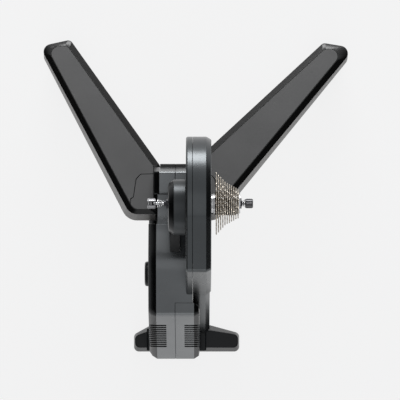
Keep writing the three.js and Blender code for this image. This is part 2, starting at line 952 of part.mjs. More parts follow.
function cog(teeth, x) {
  const pitchRadius = chainPitch / (2 * Math.sin(Math.PI / teeth));
  const step = (2 * Math.PI) / teeth;
  const outline = Array.from({ length: teeth }, (_, i) => {
    const at = (radius, share) => [
      radius * Math.cos((i + share) * step),
      axleHeight + radius * Math.sin((i + share) * step),
    ];
    return [
      at(pitchRadius - rollerRadius, 0),
      ...toothTipShares.map((share) => at(pitchRadius + toothRise, share)),
    ];
  }).flat();
  const disc = extruded(
    "x",
    outline,
    x,
    x + cogThickness,
    circle(0, axleHeight, freehubRadius + gap, medium),
  );
  const spacer = ringX(
    x - (cogPitch - cogThickness) + gap,
    x + cogThickness / 2,
    freehubRadius + gap,
    Math.min(spacerRadius, pitchRadius - rollerRadius - gap),
    medium,
  );
  return join(disc, spacer);
}
cogTeeth.forEach((teeth, i) => {
  add(`cog_${teeth}t`, cog(teeth, cogFirstX + i * cogPitch - cogThickness / 2), silver);
});
const lockringX = lastCogX + gap;
add(
  "cassette_lockring",
  ringX(lockringX, lockringX + lockringThickness, lockringBore, lockringRadius, medium),
  steel,
);

// End caps that the bike's dropouts rest on
const dropoutX = dropoutWidth / 2;
const endCap = (inside, face, end) =>
  turned(
    [
      [inside, spindleBore],
      [inside, endCapRadius],
      [face, endCapRadius],
      [face, stubRadius],
      [end, stubRadius],
      [end, spindleBore],
      [inside, spindleBore],
    ],
    medium,
  );
const leftStubX = -dropoutX - leftStub;
const rightStubX = dropoutX + rightStub;
add("end_cap_left", endCap(spindleLeftX - gap, -dropoutX, leftStubX), darkSteel);
add("end_cap_right", endCap(spindleRightX + gap, dropoutX, rightStubX), darkSteel);

// Quick release
const fluted = (radius) =>
  Array.from({ length: fluteCount }, (_, i) => {
    const step = (2 * Math.PI) / fluteCount;
    const at = (r, share) => [
      r * Math.cos((i + share) * step),
      axleHeight + r * Math.sin((i + share) * step),
    ];
    return fluteShares.map((share, k) => at(k < 2 ? radius : radius - fluteDepth, share));
  }).flat();

const rodClearance = rodRadius + gap;
add("skewer_rod", rodX(rodLeftX, rodRightX, rodRadius, small), steel);
add(
  "skewer_head",
  cut(
    extruded("x", fluted(headRadius), headLeftX, headRightX),
    rodX(headLeftX, headRightX + overrun, rodClearance, small),
    block(
      headLeftX - overrun,
      headRightX - headBack,
      -headCheek,
      headCheek,
      axleHeight - headRadius - overrun,
      axleHeight + headRadius + overrun,
    ),
    rodY(camX, axleHeight, headRadius + overrun, camPinRadius + gap),
  ),
  silver,
);
add("cam_pin", rodY(camX, axleHeight, headRadius - fluteDepth - gap, camPinRadius), steel);

function quickReleaseLever() {
  const cam = rodY(camX, axleHeight, leverHalf, camRadius);
  const gripTopZ = axleHeight - leverGripTop;
  const tipZ = axleHeight - leverLength;
  const half = leverThickness / 2;
  const stem = extruded(
    "y",
    [
      [gripTopZ - overrun, camX - half],
      [axleHeight, camX - half],
      [axleHeight, camX + half],
      [gripTopZ - overrun, camX + half],
    ],
    -leverHalf,
    leverHalf,
  );
  const grip = extruded(
    "y",
    [
      [tipZ, camX - half - leverLean],
      [gripTopZ, camX - half],
      [gripTopZ, camX + half],
      [tipZ, camX + half - leverLean],
    ],
    -leverGripHalf,
    leverGripHalf,
  );
  return cut(
    join(cam, stem, grip),
    rodY(camX, axleHeight, leverHalf + overrun, camPinRadius + gap),
  );
}
add("quick_release_lever", quickReleaseLever(), darkSteel);
add("skewer_washer", ringX(washerLeftX, washerRightX, rodClearance, washerRadius, medium), steel);
add(
  "quick_release_nut",
  cut(
    extruded("x", fluted(nutRadius), nutLeftX, nutRightX),
    rodX(nutLeftX - overrun, rodRightX + gap, rodClearance, small),
  ),
  darkSteel,
);

// A conical spring about the axle from one place to another, its ends straight for one wire
const curlSteps = 8;
const wireSides = 5;
function coneSpring(name, x0, x1, radius0, radius1, wire, curls) {
  const steps = curls * curlSteps;
  const from = x0 + wire;
  const to = x1 - wire;
  const middle = Array.from({ length: steps + 1 }, (_, i) => {
    const share = i / steps;
    const angle = share * curls * 2 * Math.PI;
    const radius = radius0 + (radius1 - radius0) * share;
    return new THREE.Vector3(
      from + (to - from) * share,
      radius * Math.cos(angle),
      axleHeight + radius * Math.sin(angle),
    );
  });
  const start = middle[0].clone().setX(x0);
  const end = middle.at(-1).clone().setX(x1);
  const path = [start, ...middle, end];
  const rings = path.map((point, i) => {
    const before = path[Math.max(i - 1, 0)];
    const after = path[Math.min(i + 1, path.length - 1)];
    const along = after.clone().sub(before).normalize();
    const out = new THREE.Vector3(0, point.y, point.z - axleHeight).normalize();
    const side = new THREE.Vector3().crossVectors(along, out).normalize();
    const outward = new THREE.Vector3().crossVectors(side, along).normalize();
    return Array.from({ length: wireSides }, (_, k) => {
      const angle = (2 * Math.PI * k) / wireSides;
      return point
        .clone()
        .addScaledVector(outward, (wire / 2) * Math.cos(angle))
        .addScaledVector(side, (wire / 2) * Math.sin(angle))
        .toArray();
    });
  });
  const apart = curlSteps / 2;
  let least = Infinity;
  path.forEach((a, i) => {
    path.slice(i + apart).forEach((b) => {
      least = Math.min(least, a.distanceTo(b) - wire);
    });
  });
  console.log(`${name}: least gap between curls ${least.toFixed(2)} mm`);
  return lofted(rings, ([, y, z]) => [y, z]);
}
const springs = [
  ["spring_left", washerRightX + gap, leftStubX - gap, springLarge, springSmall, springWire, 3],
  ["spring_right", rightStubX + gap, nutLeftX - gap, springSmall, springNarrowLarge, springNarrowWire, 2],
];
for (const spring of springs) add(spring[0], coneSpring(...spring), steel);

// Rear foot
const footBase = rounded([
  [footLeftX, footEndFrontY, footCorner],
  [footLeftX, footRearY, footCorner],
  [footRightX, footRearY, footCorner],
  [footRightX, footEndFrontY + footSlopeEnd, footCorner],
  [footWaistRightX, footFrontY],
  [footWaistLeftX, footFrontY],
]);
const footCrown = rounded([
  [footLeftX + footSlopeEnd, footEndFrontY - footSlopeEnd, footCorner],
  [footLeftX + footSlopeEnd, footRearY + footSlope, footCorner],
  [footRightX - footSlopeEnd, footRearY + footSlope, footCorner],
  [footRightX - footSlopeEnd, footEndFrontY, footCorner],
  [footWaistRightX, footFrontY - footSlope],
  [footWaistLeftX, footFrontY - footSlope],
]);
const atHeight = (outline, z) => outline.map(([x, y]) => [x, y, z]);
add(
  "rear_foot",
  lofted([atHeight(footBase, padThickness + gap), atHeight(footCrown, footTop)]),
  plasticBlack,
);
const padOutline = (x0, x1) =>
  rounded([
    [x0, footEndFrontY - padInset, padInset],
    [x0, footRearY + padInset, padInset],
    [x1, footRearY + padInset, padInset],
    [x1, footEndFrontY - padInset, padInset],
  ]);
add(
  "foot_pad_left",
  extruded("z", padOutline(footLeftX + padInset, footLeftX + padInset + padLength), 0, padThickness),
  rubber,
);
add(
  "foot_pad_right",
  extruded("z", padOutline(footRightX - padInset - padLength, footRightX - padInset), 0, padThickness),
  rubber,
);

// Legs
function legPieces({ side, way, angle, length, shift }) {
  const pinX = seamX + way * hingeOffset;
  const along = [way * Math.sin(angle), Math.cos(angle)];
  const outward = [way * Math.cos(angle), -Math.sin(angle)];
  const place = (u, v, radius) => {
    const a = pinX + u * along[0] + v * outward[0];
    const b = hingeY + u * along[1] + v * outward[1];
    return radius ? [a, b, radius] : [a, b];
  };
  const halfAt = (u) =>
    legRootHalf +
    ((legTipHalf - legRootHalf) * (u - legRootReach)) / (legTipReach - legRootReach);
  const skew = Math.tan(angle - tipSlant);
  const tipOuterU = length + legTipHalf * skew;
  const tipInnerU = length - legTipHalf * skew;

  // Where a straight edge reaches a line of constant x or y
  const edge = (sign) => [
    place(legRootReach, sign * halfAt(legRootReach) - shift),
    place(legTipReach, sign * halfAt(legTipReach) - shift),
  ];
  const meet = (sign, axis, value) => {
    const [root, tip] = edge(sign);
    const share = (value - root[axis]) / (tip[axis] - root[axis]);
    return [root[0] + share * (tip[0] - root[0]), root[1] + share * (tip[1] - root[1])];
  };
  const innerX = pinX - way * legInnerX;
  const corners = [
    place(tipOuterU, halfAt(tipOuterU) - shift, tipOuterRadius),
    place(tipInnerU, -halfAt(tipInnerU) - shift, tipInnerRadius),
    [...meet(-1, 0, innerX), innerRadius],
    [innerX, legRearY, innerRadius],
    [...meet(1, 1, legRearY), rootRadius],
  ];
  if (way < 0) corners.reverse();

  // A level of the leg: its outline drawn in, and sunk square to the tilted top
  const level = (outline, drawn, depth) =>
    rounded(drawnIn(outline, drawn)).map(([x, y]) => [
      x,
      y - depth * Math.sin(legTilt),
      legTop(y) - depth * Math.cos(legTilt),
    ]);
  const plate = lofted([
    level(corners, 0, legThickness),
    level(corners, 0, legBevelDepth),
    level(corners, legBevel, 0),
  ]);
  const panelPocket = lofted([
    level(corners, legBevel, panelThickness + gap),
    level(corners, legBevel, -overrun),
  ]);
  const beamFront = slotRadius + gap;
  const hollowFrom = lugRadius + wall;
  const underCorners = [
    place(length - legFootLength, halfAt(length) - legRim - shift),
    place(length - legFootLength, -halfAt(length) + legRim - shift),
    place(hollowFrom + legRootReach, -halfAt(legRootReach) + 2 * legRim - shift),
    place(hollowFrom + legRootReach, halfAt(legRootReach) - 2 * legRim - shift),
  ];
  if (way < 0) underCorners.reverse();
  const underPocket = lofted([
    level(underCorners, 0, legThickness + overrun),
    level(underCorners, 0, panelThickness + legSkin),
  ]);

  // The beam under the plate that carries the lower lug
  const lugBottom = armBottom - gap - lugThickness;
  const plateBottom = ([x, y]) => [x, y, legTop(y) - legBottomDrop + overrun];
  const beamUnder = ([x, y]) => {
    const reach = (x - pinX) * along[0] + (y - hingeY) * along[1];
    const share = Math.max(reach - beamFront, 0) / (beamReach - beamFront);
    return [x, y, lugBottom + share * (legTop(y) - legBottomDrop - lugBottom)];
  };
  const steps = [0, beamFront, beamReach].map((u) => {
    const half = beamHalf * (1 - (beamTaperShare * u) / beamReach);
    return [place(u, -half), place(u, half)];
  });
  const beam = lofted(
    steps.map(([a, b]) => [beamUnder(a), beamUnder(b), plateBottom(b), plateBottom(a)]),
    ([x, y, z]) => [(x - pinX) * outward[0] + (y - hingeY) * outward[1], z],
  );
  const lug = rodZ(pinX, hingeY, lugBottom, armBottom - gap, lugRadius, medium);
  const boss = rodZ(pinX, hingeY, armTop + gap, legTopAtHinge - legBottomDrop + overrun, lugRadius, medium);
  const slot = rodZ(pinX, hingeY, armBottom - gap, armTop + gap, slotRadius, medium);
  const pinHole = rodZ(pinX, hingeY, lugBottom - overrun, axleHeight, pinRadius + gap, medium);
  const frame = cut(
    join(cut(plate, underPocket), beam, lug, boss),
    panelPocket,
    slot,
    pinHole,
  );
  add(`leg_frame_${side}`, frame, legBlack);

  // The cover over the hinge, and the panel that fills the rest of the top
  const coverCorners = [
    [pinX + way * coverInnerX, legRearY - overrun],
    [pinX + way * coverOuterX, legRearY - overrun],
    [pinX + way * coverOuterX, coverStepY],
    [pinX + way * coverShoulderX, coverShoulderY],
    [pinX + way * coverElbowX, coverElbowY],
    [pinX + way * coverFrontX, coverFrontY, coverFrontRadius],
    [pinX + way * coverPeakX, coverPeakY, coverPeakRadius],
    [pinX + way * coverInnerX, coverEndY],
  ];
  if (way < 0) coverCorners.reverse();
  const sheet = (drawn) =>
    lofted([
      level(corners, legBevel + drawn, panelThickness),
      level(corners, legBevel + drawn, 0),
    ]);
  const coverArea = (grow) =>
    extruded("z", rounded(drawnIn(coverCorners, -grow)), 0, axleHeight);
  add(`hinge_cover_${side}`, common(sheet(gap), coverArea(0)), panelGrey);
  add(`leg_panel_${side}`, cut(sheet(gap), coverArea(gap)), panelGrey);

  add(
    `hinge_pin_${side}`,
    rodZ(pinX, hingeY, lugBottom, legTop(hingeY + pinRadius) - 2 * panelThickness, pinRadius, medium),
    steel,
  );
  add(
    `hinge_detent_${side}`,
    rodZ(
      pinX - way * detentPlace,
      hingeY,
      armTop - detentLength,
      armTop,
      detentRadius,
      small,
    ),
    steel,
  );

  // Rubber foot under the tip
  const footU = length - legFootEnd;
  const footOutline = (grow) => {
    const outline = [
      place(footU - legFootLength - grow, -legFootHalf - grow - shift, legFootCorner),
      place(footU + grow, -legFootHalf - grow - shift, legFootCorner),
      place(footU + grow, legFootHalf + grow - shift, legFootCorner),
      place(footU - legFootLength - grow, legFootHalf + grow - shift, legFootCorner),
    ];
    if (way < 0) outline.reverse();
    return rounded(outline.reverse());
  };
  add(
    `leg_foot_${side}`,
    lofted([
      footOutline(legFootFlare).map(([x, y]) => [x, y, 0]),
      footOutline(0).map(([x, y]) => [x, y, legTop(y) - legBottomDrop - gap]),
    ]),
    rubber,
  );
}
legs.forEach(legPieces);

// Circuit board on the frame's posts, and the power inlet on the left side
add(
  "circuit_board",
  block(boardX, boardX + boardThickness, boardRearY, boardFrontY, boardBottomZ, boardTopZ),
  boardGreen,
);
add(
  "power_inlet_bezel",
  turned(
    [
      [bodyLeftX - gap, inletBore],
      [bodyLeftX - gap, inletRadius],
      [bodyLeftX - gap - inletProud / 2, inletRadius],
      [bodyLeftX - gap - inletProud, inletRadius - inletProud / 2],
      [bodyLeftX - gap - inletProud, inletBore + wall],
      [bodyLeftX - gap - inletProud / 2, inletBore],
      [bodyLeftX - gap, inletBore],
    ],
    medium,
    inletY,
    inletZ,
  ),
  plasticBlack,
);
add(
  "power_socket",
  turned(
    [
      [bodyLeftX + inletDepth, 0],
      [bodyLeftX + inletDepth, inletBore],
      [bodyLeftX, inletBore],
      [bodyLeftX, socketRadius - socketPin],
      [bodyLeftX + socketDepth, socketRadius - socketPin],
      [bodyLeftX + socketDepth, socketPin],
      [bodyLeftX + wall, socketPin],
      [bodyLeftX + wall, 0],
    ],
    small,
    inletY,
    inletZ,
  ),
  plasticBlack,
);

// The origin is the middle of the whole part's base
const bounds = new THREE.Box3().setFromObject(trainer);
const middle = bounds.getCenter(new THREE.Vector3());
trainer.position.set(-middle.x, -middle.y, -bounds.min.z);

export default trainer;
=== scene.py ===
import json
import math

import bmesh
import bpy
from mathutils import Matrix, Vector


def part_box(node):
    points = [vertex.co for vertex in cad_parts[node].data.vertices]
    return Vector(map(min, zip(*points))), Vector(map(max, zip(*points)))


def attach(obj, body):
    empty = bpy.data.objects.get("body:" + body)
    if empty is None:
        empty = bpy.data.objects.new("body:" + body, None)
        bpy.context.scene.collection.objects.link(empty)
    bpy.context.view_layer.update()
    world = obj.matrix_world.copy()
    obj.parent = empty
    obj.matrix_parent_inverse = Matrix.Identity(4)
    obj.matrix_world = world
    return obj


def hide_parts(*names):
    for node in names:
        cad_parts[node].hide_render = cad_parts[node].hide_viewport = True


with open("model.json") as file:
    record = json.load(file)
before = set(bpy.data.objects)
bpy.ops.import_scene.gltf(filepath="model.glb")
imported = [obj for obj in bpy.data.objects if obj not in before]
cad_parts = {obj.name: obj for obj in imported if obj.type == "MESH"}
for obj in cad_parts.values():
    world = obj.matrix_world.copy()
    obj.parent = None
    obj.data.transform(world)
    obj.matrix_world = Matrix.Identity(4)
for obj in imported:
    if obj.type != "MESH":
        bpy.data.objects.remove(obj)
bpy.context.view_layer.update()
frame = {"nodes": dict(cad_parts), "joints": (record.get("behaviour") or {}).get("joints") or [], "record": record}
record = frame["record"]
slots = {part["node"]: part["material_slot"] for part in record["subparts"]}
bodies = {node: body for body, nodes in record["behaviour"]["bodies"].items() for node in nodes}

# Places in the frame. The script's own sizes are millimetres in the bike's frame, where x = 0 is
# the middle between the dropouts, y = 0 is the axle and z = 0 is the floor.
MM = 0.001
weld = 0.001 * MM
corners_only = 50.0  # degrees: an easing limit that spares the steps of rounded outlines
dropout_half = 65.0
axle_place = Vector({joint["name"]: joint for joint in frame["joints"]}["cassette_spin"]["pos_m"])
right_cap_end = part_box("end_cap_right")[1].x
right_stub = 1.5
origin = Vector((right_cap_end - (dropout_half + right_stub) * MM, axle_place.y, 0.0))
axle_z = axle_place.z / MM


def at(x, y, z):
    """A place in the bike's frame, in millimetres, as a point of the scene."""
    return origin + Vector((x, y, z)) * MM


def low(node):
    """A CAD node's lowest corner in the bike's frame, in millimetres."""
    return (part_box(node)[0] - origin) / MM


def high(node):
    return (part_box(node)[1] - origin) / MM


def ends(node):
    """A CAD node's left and right ends, in millimetres."""
    return low(node).x, high(node).x


# Camera: straight down from far above, as the photograph was taken
camera_data = bpy.data.cameras.new("camera")
camera_data.lens = 298.3
camera_data.sensor_width = 36.0
camera_data.clip_end = 100.0
camera = bpy.data.objects.new("camera", camera_data)
camera.location = (0.00786, -0.00157, 6.03)
bpy.context.scene.collection.objects.link(camera)
bpy.context.scene.camera = camera
bpy.context.scene.view_settings.view_transform = "Standard"

# Outlines: lists of (a, b) corners, anticlockwise, where a third value rounds the corner


def rounded(corners, steps=8):
    points = []
    for i, (a, b, *radius) in enumerate(corners):
        here = Vector((a, b))
        if not radius:
            points.append(here)
            continue
        back = (Vector(corners[i - 1][:2]) - here).normalized()
        ahead = (Vector(corners[(i + 1) % len(corners)][:2]) - here).normalized()
        half = back.angle(ahead) / 2
        middle = here + (back + ahead).normalized() * radius[0] / math.sin(half)
        first = here + back * radius[0] / math.tan(half) - middle
        last = here + ahead * radius[0] / math.tan(half) - middle
        turn = math.atan2(first.x * last.y - first.y * last.x, first.dot(last))
        for k in range(steps + 1):
            points.append(middle + Matrix.Rotation(turn * k / steps, 2) @ first)
    return points


def drawn_in(corners, distance):
    """An outline drawn in by a distance, with each rounded corner's radius made smaller."""
    drawn = []
    for i, (a, b, *radius) in enumerate(corners):
        here = Vector((a, b))
        into = (here - Vector(corners[i - 1][:2])).normalized()
        out = (Vector(corners[(i + 1) % len(corners)][:2]) - here).normalized()
        side_in = Vector((-into.y, into.x))
        middle = (side_in + Vector((-out.y, out.x))).normalized()
        place = here + middle * distance / middle.dot(side_in)
        drawn.append((place.x, place.y, *(max(size - distance, size / 4) for size in radius)))
    return drawn


def inset(corners, distance):
    """An outline's points, drawn in by a distance and with its corners rounded."""
    return rounded(drawn_in(corners, distance))


def arc(a, b, radius, steps, start=0.0, turn=math.tau):
    """Points of a whole circle, or of an arc with both its ends."""
    count = steps if turn >= math.tau else steps + 1
    angles = [start + turn * i / steps for i in range(count)]
    return [(a + radius * math.cos(angle), b + radius * math.sin(angle)) for angle in angles]


# Making meshes


def spread(axis, point, along):
    """A point of an outline in the plane across an axis: (y, z), (z, x) or (x, y)."""
    a, b = point[0], point[1]
    return {"x": (along, a, b), "y": (b, along, a), "z": (a, b, along)}[axis]


def grown_through(loops):
    """A closed solid grown from its first loop of places through the others, in millimetres."""
    bm = bmesh.new()
    places = [at(*place) for place in loops[0]]
    cap = bm.faces.new([bm.verts.new(place) for place in places])
    for loop in loops[1:]:
        made = bmesh.ops.extrude_face_region(bm, geom=[cap, *cap.edges])["geom"]
        cap = next(item for item in made if isinstance(item, bmesh.types.BMFace))
        following = [at(*place) for place in loop]
        for vert, place in zip(ordered(cap, places), following):
            vert.co = place
        places = following
    return closed(bm)


def ordered(cap, places):
    """A cap's corners in the order of the places that they lie on."""
    corners = [loop.vert for loop in cap.loops]
    first = min(range(len(corners)), key=lambda i: (corners[i].co - places[0]).length_squared)
    corners = corners[first:] + corners[:first]
    if (corners[1].co - places[1]).length > (corners[-1].co - places[1]).length:
        corners = corners[:1] + corners[:0:-1]
    return corners


def loft(axis, *levels):
    """A solid through outlines along an axis, each level (place along it, outline)."""
    return grown_through([[spread(axis, point, along) for point in outline] for along, outline in levels])


def side_loft(side, *levels):
    """A solid across the bike from a side outline, each level (x, distance drawn in)."""
    return loft("x", *((x, inset(side, distance)) for x, distance in levels))


def closed(bm):
    bmesh.ops.recalc_face_normals(bm, faces=bm.faces[:])
    return bm


def eased(bm, width, segments=2, limit=28.0):
    """Rounds a mesh's sharp edges to a width in millimetres."""
    edges = [edge for edge in bm.edges if edge.calc_face_angle(0.0) > math.radians(limit)]
    size = {"offset": width * MM, "segments": segments, "profile": 0.5, "clamp_overlap": True}
    bmesh.ops.bevel(bm, geom=edges, affect="EDGES", material=-1, **size)
    return bm


def lathe(profile, steps=96, axis="x", a=0.0, b=None):
    """Turns a profile of (along, radius) about a line through (y, z), (z, x) or (x, y)."""
    b = axle_z if b is None else b
    out_a, out_b = (0, 1) if axis == "x" else (1, 0)
    bm = bmesh.new()
    verts = []
    for along, radius in profile:
        verts.append(bm.verts.new(at(*spread(axis, (a + out_a * radius, b + out_b * radius), along))))
    edges = [bm.edges.new((verts[i], verts[i + 1])) for i in range(len(verts) - 1)]
    line = {"cent": at(*spread(axis, (a, b), 0.0)), "axis": spread(axis, (0, 0), 1)}
    bmesh.ops.spin(bm, geom=verts + edges, angle=math.tau, steps=steps, use_merge=True, **line)
    bmesh.ops.remove_doubles(bm, verts=bm.verts[:], dist=weld)
    return closed(bm)


def bar(start, end, radius, axis="x", a=0.0, b=None, steps=48):
    return lathe([(start, 0.0), (start, radius), (end, radius), (end, 0.0)], steps, axis, a, b)


def tube(start, end, inner, outer, chamfer=0.0, a=0.0):
    """A ring about the axle's line, its four edges chamfered."""
    if not chamfer:
        return lathe([(start, inner), (start, outer), (end, outer), (end, inner), (start, inner)], a=a)
    first, last = start + chamfer, end - chamfer
    profile = [(first, inner), (start, inner + chamfer), (start, outer - chamfer), (first, outer)]
    profile += [(last, outer), (end, outer - chamfer), (end, inner + chamfer), (last, inner), (first, inner)]
    return lathe(profile, a=a)


def boxes(*spans):
    """Boxes in one mesh, each from (x0, x1, y0, y1, z0, z1) in millimetres."""
    bm = bmesh.new()
    for x0, x1, y0, y1, z0, z1 in spans:
        middle = at((x0 + x1) / 2, (y0 + y1) / 2, (z0 + z1) / 2)
        size = Matrix.Diagonal(((x1 - x0) * MM, (y1 - y0) * MM, (z1 - z0) * MM, 1.0))
        bmesh.ops.create_cube(bm, size=1.0, matrix=Matrix.Translation(middle) @ size)
    return bm


def gathered(*meshes):
    """Several meshes that don't touch, in one."""
    bm = bmesh.new()
    for each in meshes:
        data = bpy.data.meshes.new("gathered")
        each.to_mesh(data)
        each.free()
        bm.from_mesh(data)
        bpy.data.meshes.remove(data)
    return bm


def new_object(name, bm):
    mesh = bpy.data.meshes.new(name)
    bm.to_mesh(mesh)
    bm.free()
    obj = bpy.data.objects.new(name, mesh)
    bpy.context.scene.collection.objects.link(obj)
    return obj


def worked(obj, bm, operation):
    """Joins a mesh to an object, or cuts it out of it."""
    tool = new_object("tool", bm)
    modifier = obj.modifiers.new("work", "BOOLEAN")
    modifier.operation = operation
    modifier.solver = "EXACT"
    modifier.object = tool
    applied(obj)
    dropped(tool)


def dropped(obj):
    mesh = obj.data
    bpy.data.objects.remove(obj)
    bpy.data.meshes.remove(mesh)


def applied(obj):
    """Turns an object's modifiers into its mesh."""
    bpy.context.view_layer.update()
    graph = bpy.context.evaluated_depsgraph_get()
    made = bpy.data.meshes.new_from_object(obj.evaluated_get(graph))
    old = obj.data
    obj.modifiers.clear()
    obj.data = made
    bpy.data.meshes.remove(old)


def clean(mesh):
    """Welds corners that all but touch, and drops what that flattens."""
    bm = bmesh.new()
    bm.from_mesh(mesh)
    bmesh.ops.remove_doubles(bm, verts=bm.verts[:], dist=weld)
    bmesh.ops.dissolve_degenerate(bm, edges=bm.edges[:], dist=weld)
    bmesh.ops.holes_fill(bm, edges=[edge for edge in bm.edges if edge.is_boundary], sides=0)
    bm.to_mesh(mesh)
    bm.free()


def carved(bm, *cuts, operation="DIFFERENCE"):
    """A mesh with others cut out of it, or the part of it that lies in them."""
    obj = new_object("carved", bm)
    for each in cuts:
        worked(obj, each, operation)
    made = bmesh.new()
    made.from_mesh(obj.data)
    dropped(obj)
    return made


def piece(name, node, bm, finish, joins=(), cuts=(), stands_in=True, sharp=32.0):
    """A finished piece that rides with a CAD node, and stands in for it unless it is an extra."""
    obj = new_object(name, bm)
    for each in joins:
        worked(obj, each, "UNION")
    for each in cuts:
        worked(obj, each, "DIFFERENCE")
    if joins or cuts:
        clean(obj.data)
    obj.data.shade_smooth()
    obj.data.set_sharp_from_angle(angle=math.radians(sharp))
    modifier = obj.modifiers.new("even shading", "WEIGHTED_NORMAL")
    modifier.keep_sharp = True
    applied(obj)
    obj.data.materials.clear()
    obj.data.materials.append(finish)
    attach(obj, bodies[node])
    if stands_in:
        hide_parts(node)
    return obj


def second_colour(obj, finish, wanted):
    """Gives another colour to the faces that wanted(normal, place in millimetres) picks: a real finish on the
    flanges, painted highlights and painted shade elsewhere.
    """
    obj.data.materials.append(finish)
    for face in obj.data.polygons:
        if wanted(face.normal, (face.center - origin) / MM):
            face.material_index = len(obj.data.materials) - 1


# Finishes, among them painted highlights and painted shade


def finish_nodes(name):
    material = bpy.data.materials.new(name)
    material.use_nodes = True
    tree = material.node_tree
    shader = tree.nodes["Principled BSDF"]
    place = tree.nodes.new("ShaderNodeTexCoord")
    return material, tree, shader, place


def noise(tree, place, scale, detail, roughness=0.5, stretch=None):
    texture = tree.nodes.new("ShaderNodeTexNoise")
    for name, value in (("Scale", scale), ("Detail", detail), ("Roughness", roughness)):
        texture.inputs[name].default_value = value
    source = place.outputs["Object"]
    if stretch:
        mapping = tree.nodes.new("ShaderNodeMapping")
        mapping.inputs["Scale"].default_value = stretch
        tree.links.new(source, mapping.inputs["Vector"])
        source = mapping.outputs["Vector"]
    tree.links.new(source, texture.inputs["Vector"])
    return texture.outputs["Fac"]


def ramp(tree, value, first, last):
    """Maps a value to colours between two (position, colour) stops."""
    node = tree.nodes.new("ShaderNodeValToRGB")
    for element, (position, colour) in zip(node.color_ramp.elements, (first, last)):
        element.position = position
        element.color = (*colour, 1.0)
    tree.links.new(value, node.inputs["Fac"])
    return node.outputs["Color"]


def calculated(tree, operation, value, other=None):
    """The result of a maths node, whose second value is a link or a number."""
    node = tree.nodes.new("ShaderNodeMath")
    node.operation = operation
    tree.links.new(value, node.inputs[0])
    if isinstance(other, float):
        node.inputs[1].default_value = other
    elif other:
        tree.links.new(other, node.inputs[1])
    return node.outputs[0]


def grey(value):
    return (value, value, value)


def tinted(colour, share):
    return tuple(min(1.0, c * share) for c in colour)


def surfaced(tree, shader, colours, gloss, height, strength, depth, metallic):
    """Links a finish's colour, its roughness and its relief, of a depth in metres, to its shader."""
    tree.links.new(colours, shader.inputs["Base Color"])
    tree.links.new(gloss, shader.inputs["Roughness"])
    shader.inputs["Metallic"].default_value = metallic
    bump = tree.nodes.new("ShaderNodeBump")
    bump.inputs["Strength"].default_value = strength
    bump.inputs["Distance"].default_value = depth
    tree.links.new(height, bump.inputs["Height"])
    tree.links.new(bump.outputs["Normal"], shader.inputs["Normal"])


def moulded(name, colour, roughness, grain, specular=0.5, metallic=0.0):
    """Moulded plastic or paint: a fine grain, with faint clouds in its colour and gloss."""
    material, tree, shader, place = finish_nodes(name)
    clouds = ramp(tree, noise(tree, place, 14.0, 4.0), (0.3, tinted(colour, 0.92)), (0.7, tinted(colour, 1.08)))
    rub = noise(tree, place, 45.0, 5.0, 0.6)
    gloss = ramp(tree, rub, (0.3, grey(roughness * 0.96)), (0.75, grey(roughness * 1.06)))
    surfaced(tree, shader, clouds, gloss, noise(tree, place, 2600.0, 2.0), grain, 0.00006, metallic)
    shader.inputs["Specular IOR Level"].default_value = specular
    return material


def brushed(name, colour, roughness, stretch=(6.0, 900.0, 900.0)):
    """Turned or brushed metal: fine lines along the way it was worked."""
    material, tree, shader, place = finish_nodes(name)
    lines = noise(tree, place, 1.0, 4.0, 0.7, stretch)
    colours = ramp(tree, lines, (0.3, tinted(colour, 0.82)), (0.7, colour))
    gloss = ramp(tree, lines, (0.25, grey(roughness * 0.75)), (0.8, grey(roughness * 1.3)))
    surfaced(tree, shader, colours, gloss, lines, 0.15, 0.00004, 1.0)
    return material


def cast(name, colour, roughness, metallic):
    """Cast metal: a pebbly skin."""
    material, tree, shader, place = finish_nodes(name)
    pebbles = noise(tree, place, 420.0, 6.0, 0.65)
    colours = ramp(tree, pebbles, (0.35, tinted(colour, 0.7)), (0.65, colour))
    gloss = ramp(tree, pebbles, (0.3, grey(roughness * 0.8)), (0.7, grey(roughness * 1.1)))
    surfaced(tree, shader, colours, gloss, pebbles, 0.5, 0.0003, metallic)
    return material


sheen = 0.93
shell_grey = moulded("shell grey", (0.155, 0.162, 0.167), 0.28, 0.04, metallic=sheen)
# Painted highlight: a lighter copy of the shell grey, put on the rear-facing faces in place of the light from behind.
painted_rear_highlight = moulded("painted rear highlight", (0.225, 0.232, 0.238), 0.28, 0.04, metallic=sheen)
drum_grey = moulded("drum grey", (0.084, 0.09, 0.094), 0.28, 0.05, metallic=sheen)
cap_grey = moulded("cap grey", (0.06, 0.064, 0.067), 0.36, 0.05, metallic=sheen)
# Painted shade: a near black copy of the shell grey, put on faces that look left or right in place of their shade.
painted_side_lighting = moulded("painted side lighting", (0.02, 0.021, 0.022), 0.28, 0.04, metallic=sheen)
leg_black = moulded("leg black", (0.005, 0.005, 0.005), 0.26, 0.08)
# Painted highlight: a light grey put on the legs' outward sloping sides in place of the light that falls on them.
leg_painted_side_lighting = moulded("leg painted side lighting", (0.3, 0.29, 0.28), 0.35, 0.2, specular=1.0)
panel_grey = moulded("panel grey", (0.108, 0.108, 0.109), 0.4, 0.2)
foot_black = moulded("foot black", (0.008, 0.01, 0.012), 0.3, 0.3, specular=0.25)
socket_black = moulded("socket black", (0.012, 0.012, 0.013), 0.45, 0.3)
rubber = moulded("rubber", (0.014, 0.014, 0.014), 0.85, 0.6, specular=0.25)
board_green = moulded("board green", (0.02, 0.1, 0.05), 0.4, 0.1)
frame_cast = cast("frame casting", (0.02, 0.021, 0.022), 0.55, 0.0)
flywheel_cast = cast("flywheel casting", (0.14, 0.14, 0.145), 0.4, 0.8)
bright_steel = brushed("bright steel", (0.72, 0.72, 0.73), 0.24)
dark_steel = brushed("dark steel", (0.05, 0.05, 0.054), 0.3)
satin_steel = brushed("satin steel", (0.34, 0.34, 0.35), 0.3)
lever_steel = brushed("lever steel", (0.12, 0.12, 0.125), 0.3)
